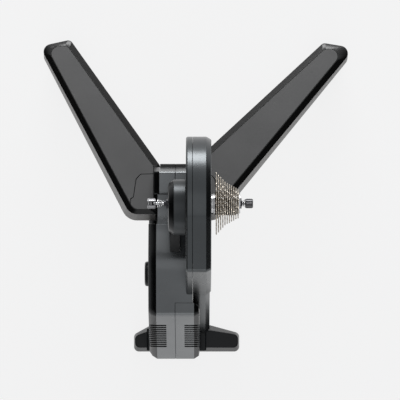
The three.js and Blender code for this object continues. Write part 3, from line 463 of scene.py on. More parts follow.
cog_nickel = brushed("cog nickel", (0.58, 0.53, 0.46), 0.28, (60.0, 700.0, 700.0))
spacer_black = brushed("spacer black", (0.05, 0.045, 0.04), 0.35)
copper = brushed("enamelled copper", (0.55, 0.22, 0.1), 0.35)

slot_finishes = {"shell": shell_grey, "leg": leg_black, "panel": panel_grey, "casting": frame_cast}
slot_finishes |= {"flywheel": flywheel_cast, "steel": bright_steel, "dark_steel": dark_steel}
slot_finishes |= {"cogs": cog_nickel, "winding": copper, "rubber": rubber}
slot_finishes |= {"black_plastic": foot_black, "board": board_green}
for name, node in frame["nodes"].items():
    node.data.materials.clear()
    node.data.materials.append(slot_finishes[slots[name]])

# Sizes of the body, in millimetres in the bike's frame
seam_x = -50.0
seam = 0.15  # half the gap at a seam
drum_seam = 0.2
skin = 4.0
held_in = 0.06  # how far a filler's outline stays inside its neighbour's
hinge_y = 20.0
hinge_top = 170.0
tip_top = 44.1
tip_y = 290.0
leg_slope = (hinge_top - tip_top) / (tip_y - hinge_y)
leg_clearance = 3.0
leg_rear = -19.7
inlet_y, inlet_z = -125.0, 150.0
belly_front = (-36.0, 92.0)
belly_rear = (-215.0, 36.0)
deck_front = (-68.0, 250.0)
deck_rear = (-195.0, 222.0)
tail_top = (-280.0, 62.0)
tail_foot = (-280.0, 36.0)
neck_top_z = 212.0
neck_front_y = 64.0
neck_bevel = 9.5
neck_back = (16.0, 215.0)
jog_y = -174.5
drum_radius = 115.0
drum_left_x = low("left_shell").x + 66.8
drum_seam_x = -19.2
drum_right_x = high("right_shell").x
hub_y = -6.7
hub_room = 48.4
skirt_right_x = 10.7
right_vents = (-34.0, 5.0)
screw_depth = 1.5  # of the wells that the right shell's screws sit in
screw_circle = arc(0.0, 0.0, 1.0, 4, math.radians(45))
screw_places = [(drum_right_x, 97.0 * a, axle_z + 97.0 * b) for a, b in screw_circle]
screw_places += [(skirt_right_x, -190.0, 100.0), (skirt_right_x, -70.0, 125.0)]


def leg_top(y):
    return hinge_top - leg_slope * (y - hinge_y)


def neck_bottom(y):
    return leg_top(y) + leg_clearance


def between(y, first, last):
    """The point at y of the line through two points of a side outline."""
    return (y, first[1] + (y - first[0]) / (last[0] - first[0]) * (last[1] - first[1]))


def on_belly(y):
    return between(y, belly_rear, belly_front)


def on_deck(y):
    return between(y, deck_rear, deck_front)


deck_start = on_deck(-122.0)
scoop_line = rounded([neck_back, (-30.0, 206.0, 60.0), (-100.0, 242.9, 50.0), deck_start], 12)


def scoop(start, end):
    """Points of the scoop under the axle's left end, from the neck's back up to the deck."""
    points, steps = [], 14
    for i in range(steps + 1):
        y = start + (end - start) * i / steps
        after = next(k for k in range(1, len(scoop_line)) if scoop_line[k][0] <= y + 0.001)
        points.append(between(y, scoop_line[after - 1], scoop_line[after]))
    return points


shelf_y, shelf_top = -27.5, 150.0  # where the body passes under the left leg's root
rear_side = [(*deck_rear, 18.0), (*tail_top, 5.0), (*tail_foot, 3.0)]
whole_scoop = scoop(belly_front[0], deck_start[0])
body_side = [
    (*belly_rear, 3.0),
    on_belly(shelf_y),
    (shelf_y, shelf_top, 3.0),
    (belly_front[0], shelf_top + 8.0),
    *whole_scoop,
    *rear_side,
]
tail_side = [(*belly_rear, 3.0), on_belly(jog_y), on_deck(jog_y), *rear_side]
deck_side = [on_belly(jog_y + 2 * seam), belly_front, *whole_scoop, on_deck(jog_y + 2 * seam)]
lip_top = neck_bottom(neck_front_y) + 11.5
neck_side = [(neck_back[0], neck_bottom(neck_back[0])), (neck_front_y, neck_bottom(neck_front_y))]
neck_side += [(neck_front_y, lip_top, 2.0), (56.0, neck_top_z, 5.0), (*neck_back, 4.0)]
flange_side = [
    (56.0, neck_bottom(56.0)),
    (70.0, neck_bottom(70.0), 1.0),
    (70.0, neck_bottom(neck_front_y) + 9.3, 1.5),
    (neck_front_y, lip_top),
    (56.0, lip_top),
]
saddle_side = [
    (belly_front[0], neck_bottom(leg_rear)),
    (neck_back[0], neck_bottom(neck_back[0])),
    *scoop(neck_back[0], belly_front[0]),
]
drum_arc = arc(0.0, axle_z, drum_radius, 84, math.radians(-100), math.radians(202))
drum_side = [*drum_arc, (-116.0, 392.0, 14.0), (-160.0, 231.0, 3.0)]
skirt_side = [(*belly_rear, 3.0), belly_front, (belly_front[0], 227.0)]
skirt_side += [(-154.0, 243.0), (-160.0, 231.0, 4.0), (-236.0, 36.0, 3.0)]
frame_side = [(-250.0, 30.3), (-216.0, 30.3), (-216.0, 50.0), (-60.0, 102.0), (25.0, 102.0), (25.0, 186.0)]
frame_side += [(23.0, 303.0), (23.0, axle_z), (-23.0, axle_z)]
frame_side += [(-28.0, 282.0), (-78.0, 236.0), (-185.0, 208.0), (-250.0, 90.0)]


def sunk_neck():
    """The neck's side outline with its top lowered, for the bevels down its left and right."""
    depth, top_from = 7, 190.0
    return [(y, z - depth * (z > top_from)) for y, z in rounded(neck_side)]


def worn_side(depth):
    """The body's side outline with its top and tail lowered, for the bevels down its left side."""
    return [
        (belly_rear[0], belly_rear[1] + depth / 2, 3.0),
        (shelf_y, on_belly(shelf_y)[1] + depth / 2),
        (shelf_y, shelf_top - depth, 3.0),
        (belly_front[0], shelf_top + 8.0 - depth),
        *((y, z - depth) for y, z in whole_scoop),
        (deck_rear[0] + depth / 2, deck_rear[1] - depth * 0.9, 18.0),
        (tail_top[0] + depth, tail_top[1] - depth * 0.3, 5.0),
        (tail_foot[0] + depth, tail_foot[1] + depth / 2, 3.0),
    ]


def frame_slot():
    slot_side = drawn_in(frame_side, -0.6)
    return loft("x", (-58.6, slot_side), (-41.4, slot_side))


def vent_slots(x0, x1):
    """A row of slots straight down through the sloping rear face."""
    slope = (tail_top[1] - deck_rear[1]) / (tail_top[0] - deck_rear[0])
    count, first_top, pitch, width = 12, 186.0, 6.9, 2.5
    spans = []
    for i in range(count):
        top = first_top - i * pitch
        y = deck_rear[0] + (top - deck_rear[1]) / slope
        spans.append((x0, x1, y - width, y, top - 45.0, top + 8.0))
    return boxes(*spans)


# Rear-facing faces, which get the painted highlight.
def faces_rear(normal, place):
    return normal.y < -0.7 and normal.z > 0.3 and abs(normal.x) < 0.2


def dark_left(normal, place):
    """The left faces, and the neck's front left corner, which get painted shade."""
    return normal.x < -0.3 or (place.x < -78.0 and place.y > 40.0)


# Faces that look right, which get painted shade.
def faces_right(normal, place):
    return normal.x > 0.3


def on_flange(normal, place):
    return place.y > neck_front_y + 0.3


def left_body():
    """The left shell: the neck over the leg, the scoop, the long body and the deck to the drum."""
    left = low("left_shell").x
    edge = seam_x - seam
    bevel_x, deep_wear, shallow_wear = -83.4, 13.2, 5.5
    neck = rounded(neck_side)
    neck_left = -87.6
    neck_part = eased(loft("x", (neck_left, sunk_neck()), (neck_left + neck_bevel, neck), (edge, neck)), 0.7)
    body = loft(
        "x",
        (left, rounded(worn_side(deep_wear))),
        (left + 5.2, rounded(worn_side(shallow_wear))),
        (bevel_x, rounded(body_side)),
        (edge, rounded(body_side)),
    )
    deck = side_loft(deck_side, (seam_x - 5, held_in), (drum_seam_x - 9, held_in))
    pedestal = [(-46.8, 207.0), (33.4, 207.0), (28.3, axle_z), (-41.7, axle_z)]
    pedestal = loft("x", (-61.0, pedestal), (drum_left_x + 1.0, pedestal))
    joins = [
        eased(side_loft(flange_side, (-77.0, 0.0), (edge - 0.03, 0.0)), 0.7),
        eased(side_loft(saddle_side, (-82.0, held_in), (edge - 0.06, held_in)), 1.2),
        eased(body, 0.8),
        eased(pedestal, 1.0),
        eased(deck, 0.6),
    ]
    room = loft(
        "x",
        (left + 3, inset(worn_side(deep_wear), 3.0)),
        (bevel_x, inset(body_side, skin)),
        (seam_x + 5, inset(body_side, skin)),
    )
    deck_room = [(jog_y + 3.5, 52.0), (-40.0, 95.0), (-40.0, 205.0)]
    deck_room += [(-60.0, 215.0), (-95.0, 232.0), (jog_y + 3.5, 221.0)]
    cuts = [
        room,
        loft("x", (seam_x - 6, deck_room), (drum_seam_x, deck_room)),
        side_loft(drum_side, (drum_left_x + 3, 8), (0.0, 8)),
        boxes((-47.5, 0.0, -36.0, 70.0, 0.0, 215.3)),
        bar(-70, drum_left_x + 0.5, hub_room, "x", hub_y, steps=96),
        bar(-58.0, 0.0, 32.0),
        frame_slot(),
        bar(left - 5, left + 23.8, 12.3, "x", inlet_y, inlet_z),
        vent_slots(left - 5, -66.0),
    ]
    shell = piece("left_body_shell", "left_shell", neck_part, shell_grey, joins, cuts)
    # Painted shade on the left faces and the neck's front left corner, painted highlight on the rear-facing faces;
    # the flange takes the legs' black finish.
    second_colour(shell, painted_side_lighting, dark_left)
    second_colour(shell, painted_rear_highlight, faces_rear)
    second_colour(shell, leg_black, on_flange)

    # The filler between the deck and the drum
    heel = [(jog_y + 0.5, 100.0), (-152.0, 110.0)]
    heel = drawn_in([*heel, *(on_deck(y) for y in (-152.0, jog_y + 0.5))], 2 * held_in)
    piece("left_heel", "left_shell", loft("x", (drum_seam_x - 14, heel), (drum_seam_x - 0.4, heel)), shell_grey)


def left_drum():
    """The drum's left half, with a chamfer round its outer side."""
    face = side_loft(drum_side, (drum_left_x, 1.7), (drum_left_x + 2.6, 0.0), (drum_seam_x - drum_seam, 0.0))
    cuts = [
        side_loft(drum_side, (drum_left_x + 3, skin), (drum_seam_x + 5, skin)),
        bar(-58.0, 0.0, hub_room, "x", hub_y),
        frame_slot(),
        tube(drum_left_x - 1, drum_left_x + 0.9, 92.0, 94.5),
    ]
    piece("left_drum_shell", "left_shell", eased(face, 0.5), drum_grey, (), cuts)


def right_neck():
    """The right shell's neck, over the right leg."""
    edge = seam_x + seam
    neck = rounded(neck_side)
    right, rear = -12.4, -35.7
    neck_part = eased(loft("x", (edge, neck), (right - neck_bevel, neck), (right, sunk_neck())), 0.7)
    saddle = [(rear, neck_bottom(leg_rear)), *saddle_side[1:-1], scoop(rear, belly_front[0])[0]]
    saddle = drawn_in(saddle, held_in)
    joins = [
        eased(side_loft(flange_side, (seam_x - 0.1, 0.0), (-23.0, 0.0)), 0.7),
        boxes((-41.0, right - 1, rear, 55.0, 202.3, 208.0)),
        eased(loft("x", (edge + 0.06, saddle), (right - 9.4, saddle)), 1.2),
    ]
    shell = piece("right_neck_shell", "right_shell", neck_part, shell_grey, joins, [frame_slot()])
    second_colour(shell, leg_black, on_flange)


def right_tail():
    """The right shell's tail, behind the drum."""
    edge, bevel_x = seam_x + seam, -17.0
    tail = side_loft(tail_side, (edge, 0.0), (bevel_x, 0.0), (-8.5, 5.5), (-7.0, 13.0))
    room = side_loft(tail_side, (edge - 5, skin), (bevel_x, skin), (-11.5, 9.5))
    cuts = [frame_slot(), room, vent_slots(*right_vents)]
    shell = piece("right_tail_shell", "right_shell", eased(tail, 0.7, limit=corners_only), shell_grey, (), cuts)
    # Painted highlight on the rear-facing faces, painted shade on the faces that look right.
    second_colour(shell, painted_rear_highlight, faces_rear)
    second_colour(shell, painted_side_lighting, faces_right)


def right_drum():
    """The drum's right half with its round shoulder, and the skirt that carries it on the foot."""
    shoulder_x, bevel_x, outside = drum_right_x - 9.5, 3.0, 20.0
    curve = [(0.0, 0.0), (0.7, 0.08), (1.4, 0.3), (2.2, 0.7), (7.8, 3.8), (8.6, 4.4), (9.2, 5.1), (9.5, 6.0)]
    curve = [(shoulder_x + along, distance) for along, distance in curve]
    drum = side_loft(drum_side, (drum_seam_x + drum_seam, 0.0), *curve)
    skirt = side_loft(skirt_side, (drum_seam_x + seam, 0.0), (bevel_x, 0.0), (skirt_right_x, 6.0))
    cuts = [
        side_loft(drum_side, (drum_seam_x - 5, skin), (shoulder_x, skin), (drum_right_x - 3.0, skin + 3.0)),
        side_loft(skirt_side, (drum_seam_x - 5, skin), (bevel_x, skin), (skirt_right_x - 3.0, 9.0)),
        bar(0.0, outside, 20.0),
        frame_slot(),
        vent_slots(*right_vents),
        tube(drum_right_x - 1.0, outside, 58.0, 84.0),
        *(bar(face - screw_depth, outside, 4.6, "x", y, z) for face, y, z in screw_places),
    ]
    piece("right_drum_shell", "right_shell", eased(drum, 0.5), drum_grey, [eased(skirt, 0.8)], cuts)


def hub_cap():
    """The cap over the frame's ring, open round the axle."""
    left, right = ends("hub_cap")
    rim, radius, face = left + 10.5, 48.0, 36.0
    profile = [(right, radius - 3), (rim, radius - 3), (left + 3, face - 1), (left + 3, 0), (left, 0)]
    profile += [(left, face - 2.5), (left + 0.5, face + 1.0), (left + 1.2, face + 4.5), (left + 2.0, face + 6.0)]
    corner, steps = 4, 5
    for i in range(steps + 1):
        turn = math.radians(32) * (1 - i / steps)
        profile.append((rim + 0.8 - corner * math.sin(turn), radius - corner * (1 - math.cos(turn))))
    profile += [(right - 0.5, radius), (right, radius - 0.5), (right, radius - 3)]
    cuts = [bar(left - 5, right, 10.5), frame_slot(), tube(left - 1, left + 0.8, 24.0, 26.0, a=hub_y)]
    cover = piece("hub_cover", "hub_cap", lathe(profile, 128, "x", hub_y), cap_grey, (), cuts)
    # Painted shade on the cap's left-facing faces.
    second_colour(cover, painted_side_lighting, lambda normal, place: normal.x < -0.4)


left_body()
left_drum()
right_neck()
right_tail()
right_drum()
hub_cap()

# Sizes of the legs
leg_tilt = math.atan(leg_slope)
leg_thickness = 25.0
leg_drop = leg_thickness / math.cos(leg_tilt)
arm_bottom, arm_top = 101.7, 118.3
lug_bottom = 81.7
root_u, tip_u = 30.0, 307.0
root_half, tip_half = 46.4, 27.6


def flat(outline, z):
    return [(x, y, z) for x, y in outline]


def leg(side, way, angle, length, shift):
    """A folding leg: its ribbed frame, its top panel, the cover over its hinge and its foot."""
    pin_x = seam_x + way * 51.0
    along = (way * math.sin(angle), math.cos(angle))
    outward = (way * math.cos(angle), -math.sin(angle))

    def spot(u, v, *radius):
        return (pin_x + u * along[0] + v * outward[0], hinge_y + u * along[1] + v * outward[1], *radius)

    def half_at(u):
        return root_half + (tip_half - root_half) * (u - root_u) / (tip_u - root_u)

    def corners(root=0.0, tip=0.0, inner=0.0, rear=0.0, end=0.0):
        """The leg's outline, its outer, inner, rear and end edges each drawn in by a distance."""

        def outer_v(u):
            return half_at(u) - shift - root - (tip - root) * (u - root_u) / (tip_u - root_u)

        def inner_v(u):
            return inner - half_at(u) - shift

        def meet(across, axis, value):
            first, last = spot(root_u, across(root_u)), spot(tip_u, across(tip_u))
            share = (value - first[axis]) / (last[axis] - first[axis])
            return tuple(first[i] + share * (last[i] - first[i]) for i in (0, 1))

        skew = tip_half * math.tan(angle - math.radians(13.0))
        inner_x = pin_x - way * (24.0 - inner)
        return [
            spot(length + skew - end, outer_v(length + skew), 14.0),
            spot(length - skew - end, inner_v(length - skew), 9.0),
            (*meet(inner_v, 0, inner_x), 10.0),
            (inner_x, leg_rear + rear, 10.0),
            (*meet(outer_v, 1, leg_rear + rear), 28.0 - root),
        ][::way]  # anticlockwise on both sides

    def level(outline, depth):
        """An outline at a depth square to the sloping top."""
        back, down = depth * math.sin(leg_tilt), depth * math.cos(leg_tilt)
        return [(x, y - back, leg_top(y) - down) for x, y in rounded(outline)]

    root = 4.5 if way < 0 else 3.0
    band = corners(root, 0.3, 0.3, 3.0, 0.3)
    rim = corners(root + 8.0, 8.3, 11.0, 8.5, 9.5)
    plate = grown_through([level(corners(), leg_thickness), level(band, 5.8), level(rim, 0.0)])

    # Hollow cells between the ribs under the plate
    u0, u1, edge_rim, rows, rib = 56.0, length - 52.0, 6.0, 6, 1.3
    cells = []
    for i in range(rows):
        for j in range(2):
            cell = []
            for a, b in ((0, 0), (1, 0), (1, 1), (0, 1)):
                u = u0 + (u1 - u0) * (i + a) / rows + (rib if a == 0 else -rib)
                wide = half_at(u) - edge_rim * (2 - (u - u0) / (u1 - u0))
                v = (-wide, -rib, rib, wide)[2 * j + b] - shift
                cell.append(spot(u, v, 4.0))
            cell = cell[::-way]
            cells.append(grown_through([level(cell, leg_thickness + 2), level(drawn_in(cell, 0.8), 8.0)]))
    plate = carved(eased(plate, 0.7), gathered(*cells))

    # The beam and the two lugs that hold the hinge arm
    loops = []
    slope_start, beam_end = 27.3, 150.0
    for u in (2.3, slope_start, beam_end):
        half = 16.0 * (1 - 0.5 * u / beam_end)
        share = max(u - slope_start, 0.0) / (beam_end - slope_start)
        a, b = spot(u, -half), spot(u, half)
        tops = [leg_top(y) - leg_drop + 1.0 for _, y in (a, b)]
        unders = [lug_bottom + 0.3 + share * (top - 0.7 - lug_bottom) for top in tops]
        loops.append([(*a, unders[0]), (*b, unders[1]), (*b, tops[1]), (*a, tops[0])])
    hinge = ("z", pin_x, hinge_y)
    joins = [
        grown_through(loops),
        eased(bar(lug_bottom, arm_bottom, 22.0, *hinge), 1.0),
        bar(arm_top, leg_top(hinge_y) - 15.0, 22.0, *hinge),
    ]

    def sheet(gap, depth, top):
        """A layer over the area inside the rim, as a cutter or as the panel."""
        inside = drawn_in(rim, gap)
        return grown_through([level(inside, depth), level(inside, top)])

    cuts = [
        sheet(0.9, 3.3, -3.0),
        bar(arm_bottom, arm_top, 27.0, *hinge),
        bar(lug_bottom - 2, axle_z, 7.3, *hinge, 40),
    ]

    # Outward sloping side faces, which get the painted light grey highlight.
    def faces_out(normal, place):
        return 0.15 < normal.z < 0.6 and normal.x * outward[0] + normal.y * outward[1] > 0.3

    casting = piece(f"leg_casting_{side}", f"leg_frame_{side}", plate, leg_black, joins, cuts)
    second_colour(casting, leg_painted_side_lighting, faces_out)

    # The panel on top, and the cover over the hinge
    cover = [(-30.0, -25.0), (28.5, -25.0), (28.5, -2.0), (27.7, 8.0), (23.0, 11.0), (18.5, 43.0, 4.0)]
    cover += [(11.0, 51.5, 6.0), (-30.0, 52.5)]
    cover = [(pin_x + way * across, *rest) for across, *rest in cover][::way]

    def area(grow):
        outline = inset(cover, -grow)
        return loft("z", (60.0, outline), (250.0, outline))

    panel = eased(carved(sheet(1.2, 3.0, 0.0), area(0.8)), 0.4, limit=corners_only)
    piece(f"leg_top_panel_{side}", f"leg_panel_{side}", panel, panel_grey)
    lid = eased(carved(sheet(1.2, 3.0, 0.0), area(-0.4), operation="INTERSECT"), 0.5, limit=corners_only)
    piece(f"hinge_lid_{side}", f"hinge_cover_{side}", lid, panel_grey)

    # The rubber foot under the tip, its sole grooved
    foot_u = length - 14.0

    def quad(u0, u1, half, *radius):
        return [spot(u, v - shift, *radius) for u, v in ((u0, -half), (u1, -half), (u1, half), (u0, half))]

    def sole(grow):
        return rounded(quad(foot_u - 52.0 - grow, foot_u + grow, 18.0 + grow, 8.0)[::-way])

    levels = [flat(sole(grow), z) for z, grow in ((0.0, 1.0), (1.2, 2.0), (7.0, 1.7), (8.5, 0.4))]
    levels.append([(x, y, leg_top(y) - leg_drop - 0.3) for x, y in sole(0.0)])
    grooves = []
    for i in range(7):
        u = foot_u - 48.5 + i * 7.5
        groove = quad(u, u + 2, 25)
        grooves.append(loft("z", (-1.0, groove), (1.6, groove)))
    rubber_foot = carved(grown_through(levels), gathered(*grooves))
    piece(f"rubber_foot_{side}", f"leg_foot_{side}", rubber_foot, rubber)


leg("left", -1, math.radians(31.7), 320.0, 0.0)
leg("right", 1, math.radians(43.2), 362.3, 5.0)

# Rear foot
foot_left_x, foot_right_x = -126.6, 64.9
pad_inset, pad_length = 6.0, 46.0


def foot_level(z, draw, rear, front):
    """The foot bar's outline at a height, its ends drawn in, its rear and front placed."""
    left, right = foot_left_x + draw, foot_right_x - draw
    outline = [(left, -238.0 - draw, 9.0), (left, rear, 9.0), (right, rear, 9.0)]
    outline += [(right, -235.5 - draw, 9.0), (12.0, front, 4.0), (-96.0, front, 4.0)]
    return flat(rounded(outline), z)


rear_bar = grown_through([foot_level(4.3, 0.0, -270.0, -221.0), foot_level(30.0, 2.5, -261.0, -230.0)])
blocks = [eased(boxes((x0, x1, -267.0, -226.0, 6.0, 31.5)), 2.5, 3) for x0, x1 in ((-9.0, 5.0), (-103.0, -95.0))]
piece("rear_bar", "rear_foot", eased(rear_bar, 2.0, 3), foot_black, blocks)

for side, x0 in (("left", foot_left_x + pad_inset), ("right", foot_right_x - pad_inset - pad_length)):
    x1 = x0 + pad_length
    outline = rounded([(x0, -244.0, 6.0), (x0, -264.0, 6.0), (x1, -264.0, 6.0), (x1, -244.0, 6.0)])
    pad = eased(loft("z", (0.0, outline), (4.0, outline)), 0.5)
    grooves = boxes(*[(x0 + 4 + i * 5.2, x0 + 6 + i * 5.2, -275.0, -235.0, -1.0, 1.2) for i in range(8)])
    piece(f"grip_pad_{side}", f"foot_pad_{side}", pad, rubber, (), [grooves])

# Cassette
cog_first_x, cog_pitch, cog_thickness = 21.6, 3.74, 1.8
cog_teeth = (25, 23, 21, 19, 17, 16, 15, 14, 13, 12, 11)
cog_bore = 17.3
chain_pitch, roller_radius, tooth_rise = 12.7, 3.9, 3.2
tooth_corners = ((0.36, 1.6), (0.43, 0.0), (0.53, 0.0), (0.63, 1.4))  # share of the pitch, drop from the tip


def tooth_outline(teeth, clipped=0.0):
    """A cog's outline: a round seat for each roller of the chain, then a tapering tooth."""
    pitch_radius = chain_pitch / (2 * math.sin(math.pi / teeth))
    step = math.tau / teeth
    points = []
    for i in range(teeth):
        middle = i * step
        centre = Vector((pitch_radius * math.cos(middle), pitch_radius * math.sin(middle)))
        for k in range(7):
            turn = middle + math.pi + math.radians(-66 + 22 * k)
            points.append(centre + roller_radius * Vector((math.cos(turn), math.sin(turn))))
        for share, drop in tooth_corners:
            turn, radius = middle + share * step, pitch_radius + (tooth_rise - drop) - clipped
            points.append(Vector((radius * math.cos(turn), radius * math.sin(turn))))
    points = sorted(points, key=lambda point: math.atan2(point.y, point.x))
    return [(point.x, axle_z + point.y) for point in points]


def ring_part(x0, x1, inner, outer, start, end, steps=10):
    """A piece of a ring about the axle, as a cutter for a window."""
    outline = arc(0.0, axle_z, inner, steps, start, end - start)
    outline += arc(0.0, axle_z, outer, steps, end, start - end)
    return loft("x", (x0, outline), (x1, outline))


def cassette():
    chamfer, window_inner, window_rim, web = 0.45, 23.5, 4.0, 0.16
    for i, teeth in enumerate(cog_teeth):
        x0 = cog_first_x + i * cog_pitch - cog_thickness / 2
        x1 = x0 + cog_thickness
        root = chain_pitch / (2 * math.sin(math.pi / teeth)) - roller_radius
        whole, low_tips = tooth_outline(teeth), tooth_outline(teeth, 0.7)
        disc = loft("x", (x0, low_tips), (x0 + chamfer, whole), (x1 - chamfer, whole), (x1, low_tips))
        cuts = [bar(x0 - 2, x1 + 2, cog_bore)]
        if teeth >= 19:
            windows = 6 if teeth > 21 else 5
            span = math.tau / windows
            ring = (x0 - 1, x1 + 1, window_inner, root - window_rim)
            cuts.append(gathered(*[
                ring_part(*ring, (k + web) * span, (k + 1 - web) * span) for k in range(windows)
            ]))
        piece(f"cog_plate_{teeth}t", f"cog_{teeth}t", disc, cog_nickel, (), cuts, sharp=25.0)
        outer = min(20.3, root - 0.6)
        spacer = tube(x0 - cog_pitch + cog_thickness + 0.3, x0 + 0.4, cog_bore, outer, 0.15)
        piece(f"cog_spacer_{teeth}t", f"cog_{teeth}t", spacer, spacer_black, sharp=25.0)


cassette()
lock_left, lock_right = ends("cassette_lockring")
notches = []
for i in range(12):
    notch = boxes((lock_left - 1, lock_right + 1, -1.1, 1.1, axle_z + 9.0, axle_z + 12.4))
    turn = Matrix.Rotation(math.tau * i / 12, 3, "X")
    bmesh.ops.rotate(notch, cent=at(0.0, 0.0, axle_z), matrix=turn, verts=notch.verts[:])
    notches.append(notch)
lock = tube(lock_left, lock_right, 11.0, 17.4, 0.45)
piece("notched_lockring", "cassette_lockring", lock, bright_steel, (), [gathered(*notches)])

start, end = ends("drive_flange")
profile = [(start, 9.0), (start, 15.5), (start + 0.6, 16.1), (end - 3.0, 16.1), (end - 2.6, 17.0)]
profile += [(end - 0.5, 17.0), (end, 16.5), (end, 9.0), (start, 9.0)]
piece("drive_ring", "drive_flange", lathe(profile), bright_steel)

# Quick release: sizes in millimetres, from the left
head_left, head_right, head_radius = -97.0, -82.3, 9.0
cam_x, cheek = -90.6, 3.3
nut_left, nut_right, nut_radius = 71.0, 84.7, 8.25


def fluted(radius, ridges, depth, steps=4):
    """A round outline with rounded ridges along the axle."""
    outline = []
    count = ridges * 2 * steps
    for i in range(count):
        wave = math.cos(math.tau * i / (2 * steps))
        size = radius - depth / 2 + depth / 2 * max(-1.0, min(1.0, wave * 1.7))
        turn = math.pi / 2 + math.tau * i / count
        outline.append((size * math.cos(turn), axle_z + size * math.sin(turn)))
    return outline


def knob(left, right, radius, ridges, depth):
    """A ridged barrel with chamfered ends and a plain collar at each."""
    plain = 0.02
    end = [(0.0, radius - 1.4, plain), (0.8, radius - 0.5, plain), (1.6, radius - 0.5, plain), (2.2, radius, depth)]
    levels = [(left + along, fluted(size, ridges, rise)) for along, size, rise in end]
    levels += [(right - along, fluted(size, ridges, rise)) for along, size, rise in reversed(end)]
    return loft("x", *levels)


def wound(x0, x1, radius0, radius1, wire, curls, steps=28, sides=8):
    """A cone spring about the axle, its wire's ends straight."""
    count = curls * steps
    first, last = x0 + wire, x1 - wire
    path = []
    for i in range(count + 1):
        share = i / count
        turn, radius = share * curls * math.tau, radius0 + (radius1 - radius0) * share
        x, y, z = first + (last - first) * share, radius * math.cos(turn), axle_z + radius * math.sin(turn)
        path.append(Vector((x, y, z)))
    path = [Vector((x0, path[0].y, path[0].z)), *path, Vector((x1, path[-1].y, path[-1].z))]
    loops = []
    for i, point in enumerate(path):
        way = (path[min(i + 1, len(path) - 1)] - path[max(i - 1, 0)]).normalized()
        out = Vector((0.0, point.y, point.z - axle_z)).normalized()
        side = way.cross(out).normalized()
        out = side.cross(way)
        turns = [math.tau * k / sides for k in range(sides)]
        loops.append([point + (out * math.cos(turn) + side * math.sin(turn)) * wire / 2 for turn in turns])
    return grown_through(loops)


def quick_release():
    head = knob(head_left, head_right, head_radius, 9, 1.3)
    cam_line = ("y", axle_z, cam_x)
    rod_room, cam_pin = 2.8, 2.1
    cuts = [
        bar(head_left - 1, head_right + 1, rod_room),
        boxes((head_left - 1, head_right - 3.4, -cheek, cheek, axle_z - 12, axle_z + 12)),
        bar(-12.0, 12.0, cam_pin, *cam_line),
    ]
    piece("clamp_head", "skewer_head", head, satin_steel, (), cuts)

    # The lever: a round cam, a stem and a curved paddle
    cam = eased(bar(-3.0, 3.0, 4.6, *cam_line), 0.5, limit=corners_only)
    levels = []
    stations = [(1.0, 0.0, 2.5, 2.9), (10.0, 0.0, 2.4, 2.9), (16.0, 0.3, 2.3, 4.6), (26.0, 1.6, 2.0, 5.6)]
    stations += [(38.0, 3.2, 1.8, 6.0), (48.0, 4.0, 1.7, 5.8), (53.5, 4.1, 1.5, 4.4), (56.0, 4.0, 1.1, 2.2)]
    for drop, lean, thick, half in stations:
        x0, x1 = cam_x - lean - thick, cam_x - lean + thick
        outline = [(x0, 1.0 - half), (x0 + 0.7, -half), (x1 - 0.7, -half), (x1, 1.0 - half)]
        outline += [(x1, half - 1.0), (x1 - 0.7, half), (x0 + 0.7, half), (x0, half - 1.0)]
        levels.append((axle_z - drop, outline))
    paddle = loft("z", *levels)
    piece("clamp_lever", "quick_release_lever", cam, satin_steel, [paddle], [bar(-5.0, 5.0, cam_pin, *cam_line)])

    piece("dished_washer", "skewer_washer", tube(*ends("skewer_washer"), 2.9, 7.5, 0.35), bright_steel)

    # The rod with its thread, and the nut
    rod_left, rod_right = ends("skewer_rod")
    crest, root = 2.5, 2.1
    profile = [(rod_left, 0.0), (rod_left, root), (rod_left + 0.4, crest)]
    thread, thread_pitch = 66.9, 0.9
    while thread < rod_right - 1.0:
        profile += [(thread, crest), (thread + 0.4, root), (thread + 0.8, crest)]
        thread += thread_pitch
    profile += [(rod_right - 0.4, crest), (rod_right, root), (rod_right, 0.0)]
    piece("threaded_rod", "skewer_rod", lathe(profile, 32), bright_steel, sharp=25.0)
    nut = knob(nut_left, nut_right, nut_radius, 9, 1.2)
    bore = bar(nut_left - 1, rod_right + 0.3, rod_room)
    dish = lathe([(nut_right - 0.9, 0.0), (nut_right - 0.9, 4.2), (nut_right + 0.2, 5.2), (nut_right + 0.2, 0.0)], 48)
    piece("ridged_nut", "quick_release_nut", nut, lever_steel, (), [bore, dish])

    springs = {
        "left": (high("skewer_washer").x + 0.3, low("end_cap_left").x - 0.3, 6.6, 4.1, 1.2, 3),
        "right": (high("end_cap_right").x + 0.3, nut_left - 0.3, 4.1, 6.2, 0.9, 2),
    }
    for side, sizes in springs.items():
        piece(f"cone_spring_{side}", f"spring_{side}", wound(*sizes), bright_steel, sharp=60.0)


def end_caps():
    """The caps that the dropouts rest on: a shouldered sleeve, its rim chamfered."""
    for side, way in (("left", -1), ("right", 1)):
        node = f"end_cap_{side}"
        inside, end = ends(node)[::way]
        face = way * dropout_half
        rim = [(1.9, 9.0), (1.7, 8.7), (1.3, 8.7), (1.1, 9.0), (0.3, 9.0), (0.0, 8.7), (0.0, 5.0)]
        profile = [(inside, 3.2), (inside, 8.6), (inside + way * 0.4, 9.0)]
        profile += [(face - way * inward, radius) for inward, radius in rim]
        profile += [(end - way * 0.4, 5.0), (end, 4.6), (end, 3.2), (inside, 3.2)]
        piece(f"dropout_cap_{side}", node, lathe(profile), dark_steel)


quick_release()
end_caps()

# Power inlet, and the right shell's screws


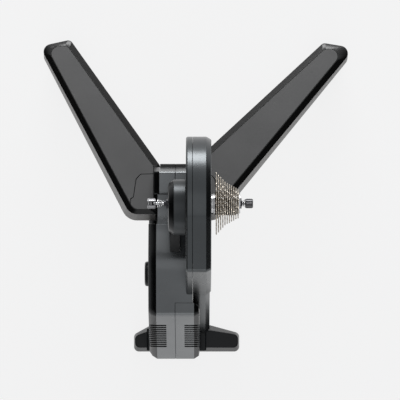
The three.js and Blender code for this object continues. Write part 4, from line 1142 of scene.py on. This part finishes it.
def inlet():
    middle = ("x", inlet_y, inlet_z)
    left, right = ends("power_inlet_bezel")
    profile = [(right, 12.0), (right, 22.0), (left + 4.0, 22.0), (left + 1.6, 21.2), (left + 0.4, 19.4)]
    profile += [(left, 17.0), (left, 13.0), (left + 0.6, 12.0), (right, 12.0)]
    piece("inlet_ring", "power_inlet_bezel", lathe(profile, 96, *middle), foot_black)
    left, right = ends("power_socket")
    profile = [(left, 0.0), (left, 9.3), (left + 0.7, 10.0), (right, 10.0), (right, 0.0)]
    well = carved(bar(left - 1.0, left + 8.0, 4.2, *middle), bar(left - 2.0, left + 9.0, 1.1, *middle))
    piece("socket_body", "power_socket", lathe(profile, 64, *middle), socket_black, (), [well])
    profile = [(left + 1.2, 0.0), (left + 1.2, 0.6), (left + 1.7, 1.0), (left + 9.0, 1.0), (left + 9.0, 0.0)]
    piece("socket_pin", "power_socket", lathe(profile, 24, *middle), bright_steel, stands_in=False)


def screw(name, face, y, z, radius=3.4):
    """A pan head screw with a six sided recess, sunk in its well in the right shell's side."""
    start = face - screw_depth - 0.6
    top = start + 2.0
    profile = [(start, 0.0), (start, radius), (start + 0.9, radius), (start + 1.7, radius * 0.8)]
    profile += [(top, radius * 0.5), (top, 0.0)]
    corners = arc(y, z, radius * 0.5, 6)
    recess = loft("x", (start + 0.8, corners), (start + 3.0, corners))
    piece(name, "right_shell", lathe(profile, 32, "x", y, z), dark_steel, (), [recess], stands_in=False)


inlet()
for i, place in enumerate(screw_places):
    screw(f"shell_screw_{i + 1}", *place)

# The floor, and soft light from the front, from behind and from above


def make_floor():
    bm = bmesh.new()
    bmesh.ops.create_grid(bm, x_segments=1, y_segments=1, size=12.0)
    floor = new_object("floor", bm)
    floor.location.z = -0.5 * MM
    material = bpy.data.materials.new("floor")
    material.use_nodes = True
    tree = material.node_tree
    shader = tree.nodes["Principled BSDF"]
    shader.inputs["Base Color"].default_value = (0.86, 0.86, 0.865, 1)
    shader.inputs["Roughness"].default_value = 0.9
    shader.inputs["Specular IOR Level"].default_value = 0.1
    glow = tree.nodes.new("ShaderNodeEmission")
    glow.inputs["Color"].default_value = (0.985, 0.985, 0.987, 1)
    glow.inputs["Strength"].default_value = 1.0
    rays = tree.nodes.new("ShaderNodeLightPath")
    seen = rays.outputs["Is Camera Ray"]
    for other in ("Is Glossy Ray", "Is Transmission Ray"):
        seen = calculated(tree, "MAXIMUM", seen, rays.outputs[other])
    mix = tree.nodes.new("ShaderNodeMixShader")
    tree.links.new(calculated(tree, "MULTIPLY", seen, 0.85), mix.inputs["Fac"])
    tree.links.new(shader.outputs[0], mix.inputs[1])
    tree.links.new(glow.outputs[0], mix.inputs[2])
    tree.links.new(mix.outputs[0], tree.nodes["Material Output"].inputs["Surface"])
    floor.data.materials.append(material)


def soft_light(name, place, size, watts):
    data = bpy.data.lights.new(name, "AREA")
    data.shape = "RECTANGLE"
    data.size, data.size_y = size
    data.energy = watts
    light = bpy.data.objects.new(name, data)
    light.location = place
    light.rotation_euler = (light_aim - Vector(place)).to_track_quat("-Z", "Y").to_euler()
    bpy.context.scene.collection.objects.link(light)


def light_world():
    """A studio that is bright overhead and dark to the left and right."""
    world = bpy.data.worlds.new("studio")
    bpy.context.scene.world = world
    world.use_nodes = True
    tree = world.node_tree
    way = tree.nodes.new("ShaderNodeTexCoord")
    parts = tree.nodes.new("ShaderNodeSeparateXYZ")
    tree.links.new(way.outputs["Generated"], parts.inputs[0])
    side = calculated(tree, "ABSOLUTE", parts.outputs["X"])
    background = tree.nodes["Background"]
    shade = ramp(tree, side, (0.22, (0.6, 0.61, 0.62)), (0.5, grey(0.02)))
    tree.links.new(shade, background.inputs["Color"])
    background.inputs["Strength"].default_value = 1.0


make_floor()
light_world()
light_aim = Vector((0.0, 0.0, 0.2))
soft_light("front light", (0.0, 2.6, 0.58), (1.2, 1.0), 34.0)
soft_light("rear light", (0.0, -2.8, 1.0), (1.0, 0.9), 2.5)
soft_light("top light", (0.0, 0.0, 3.6), (2.2, 2.2), 4.0)
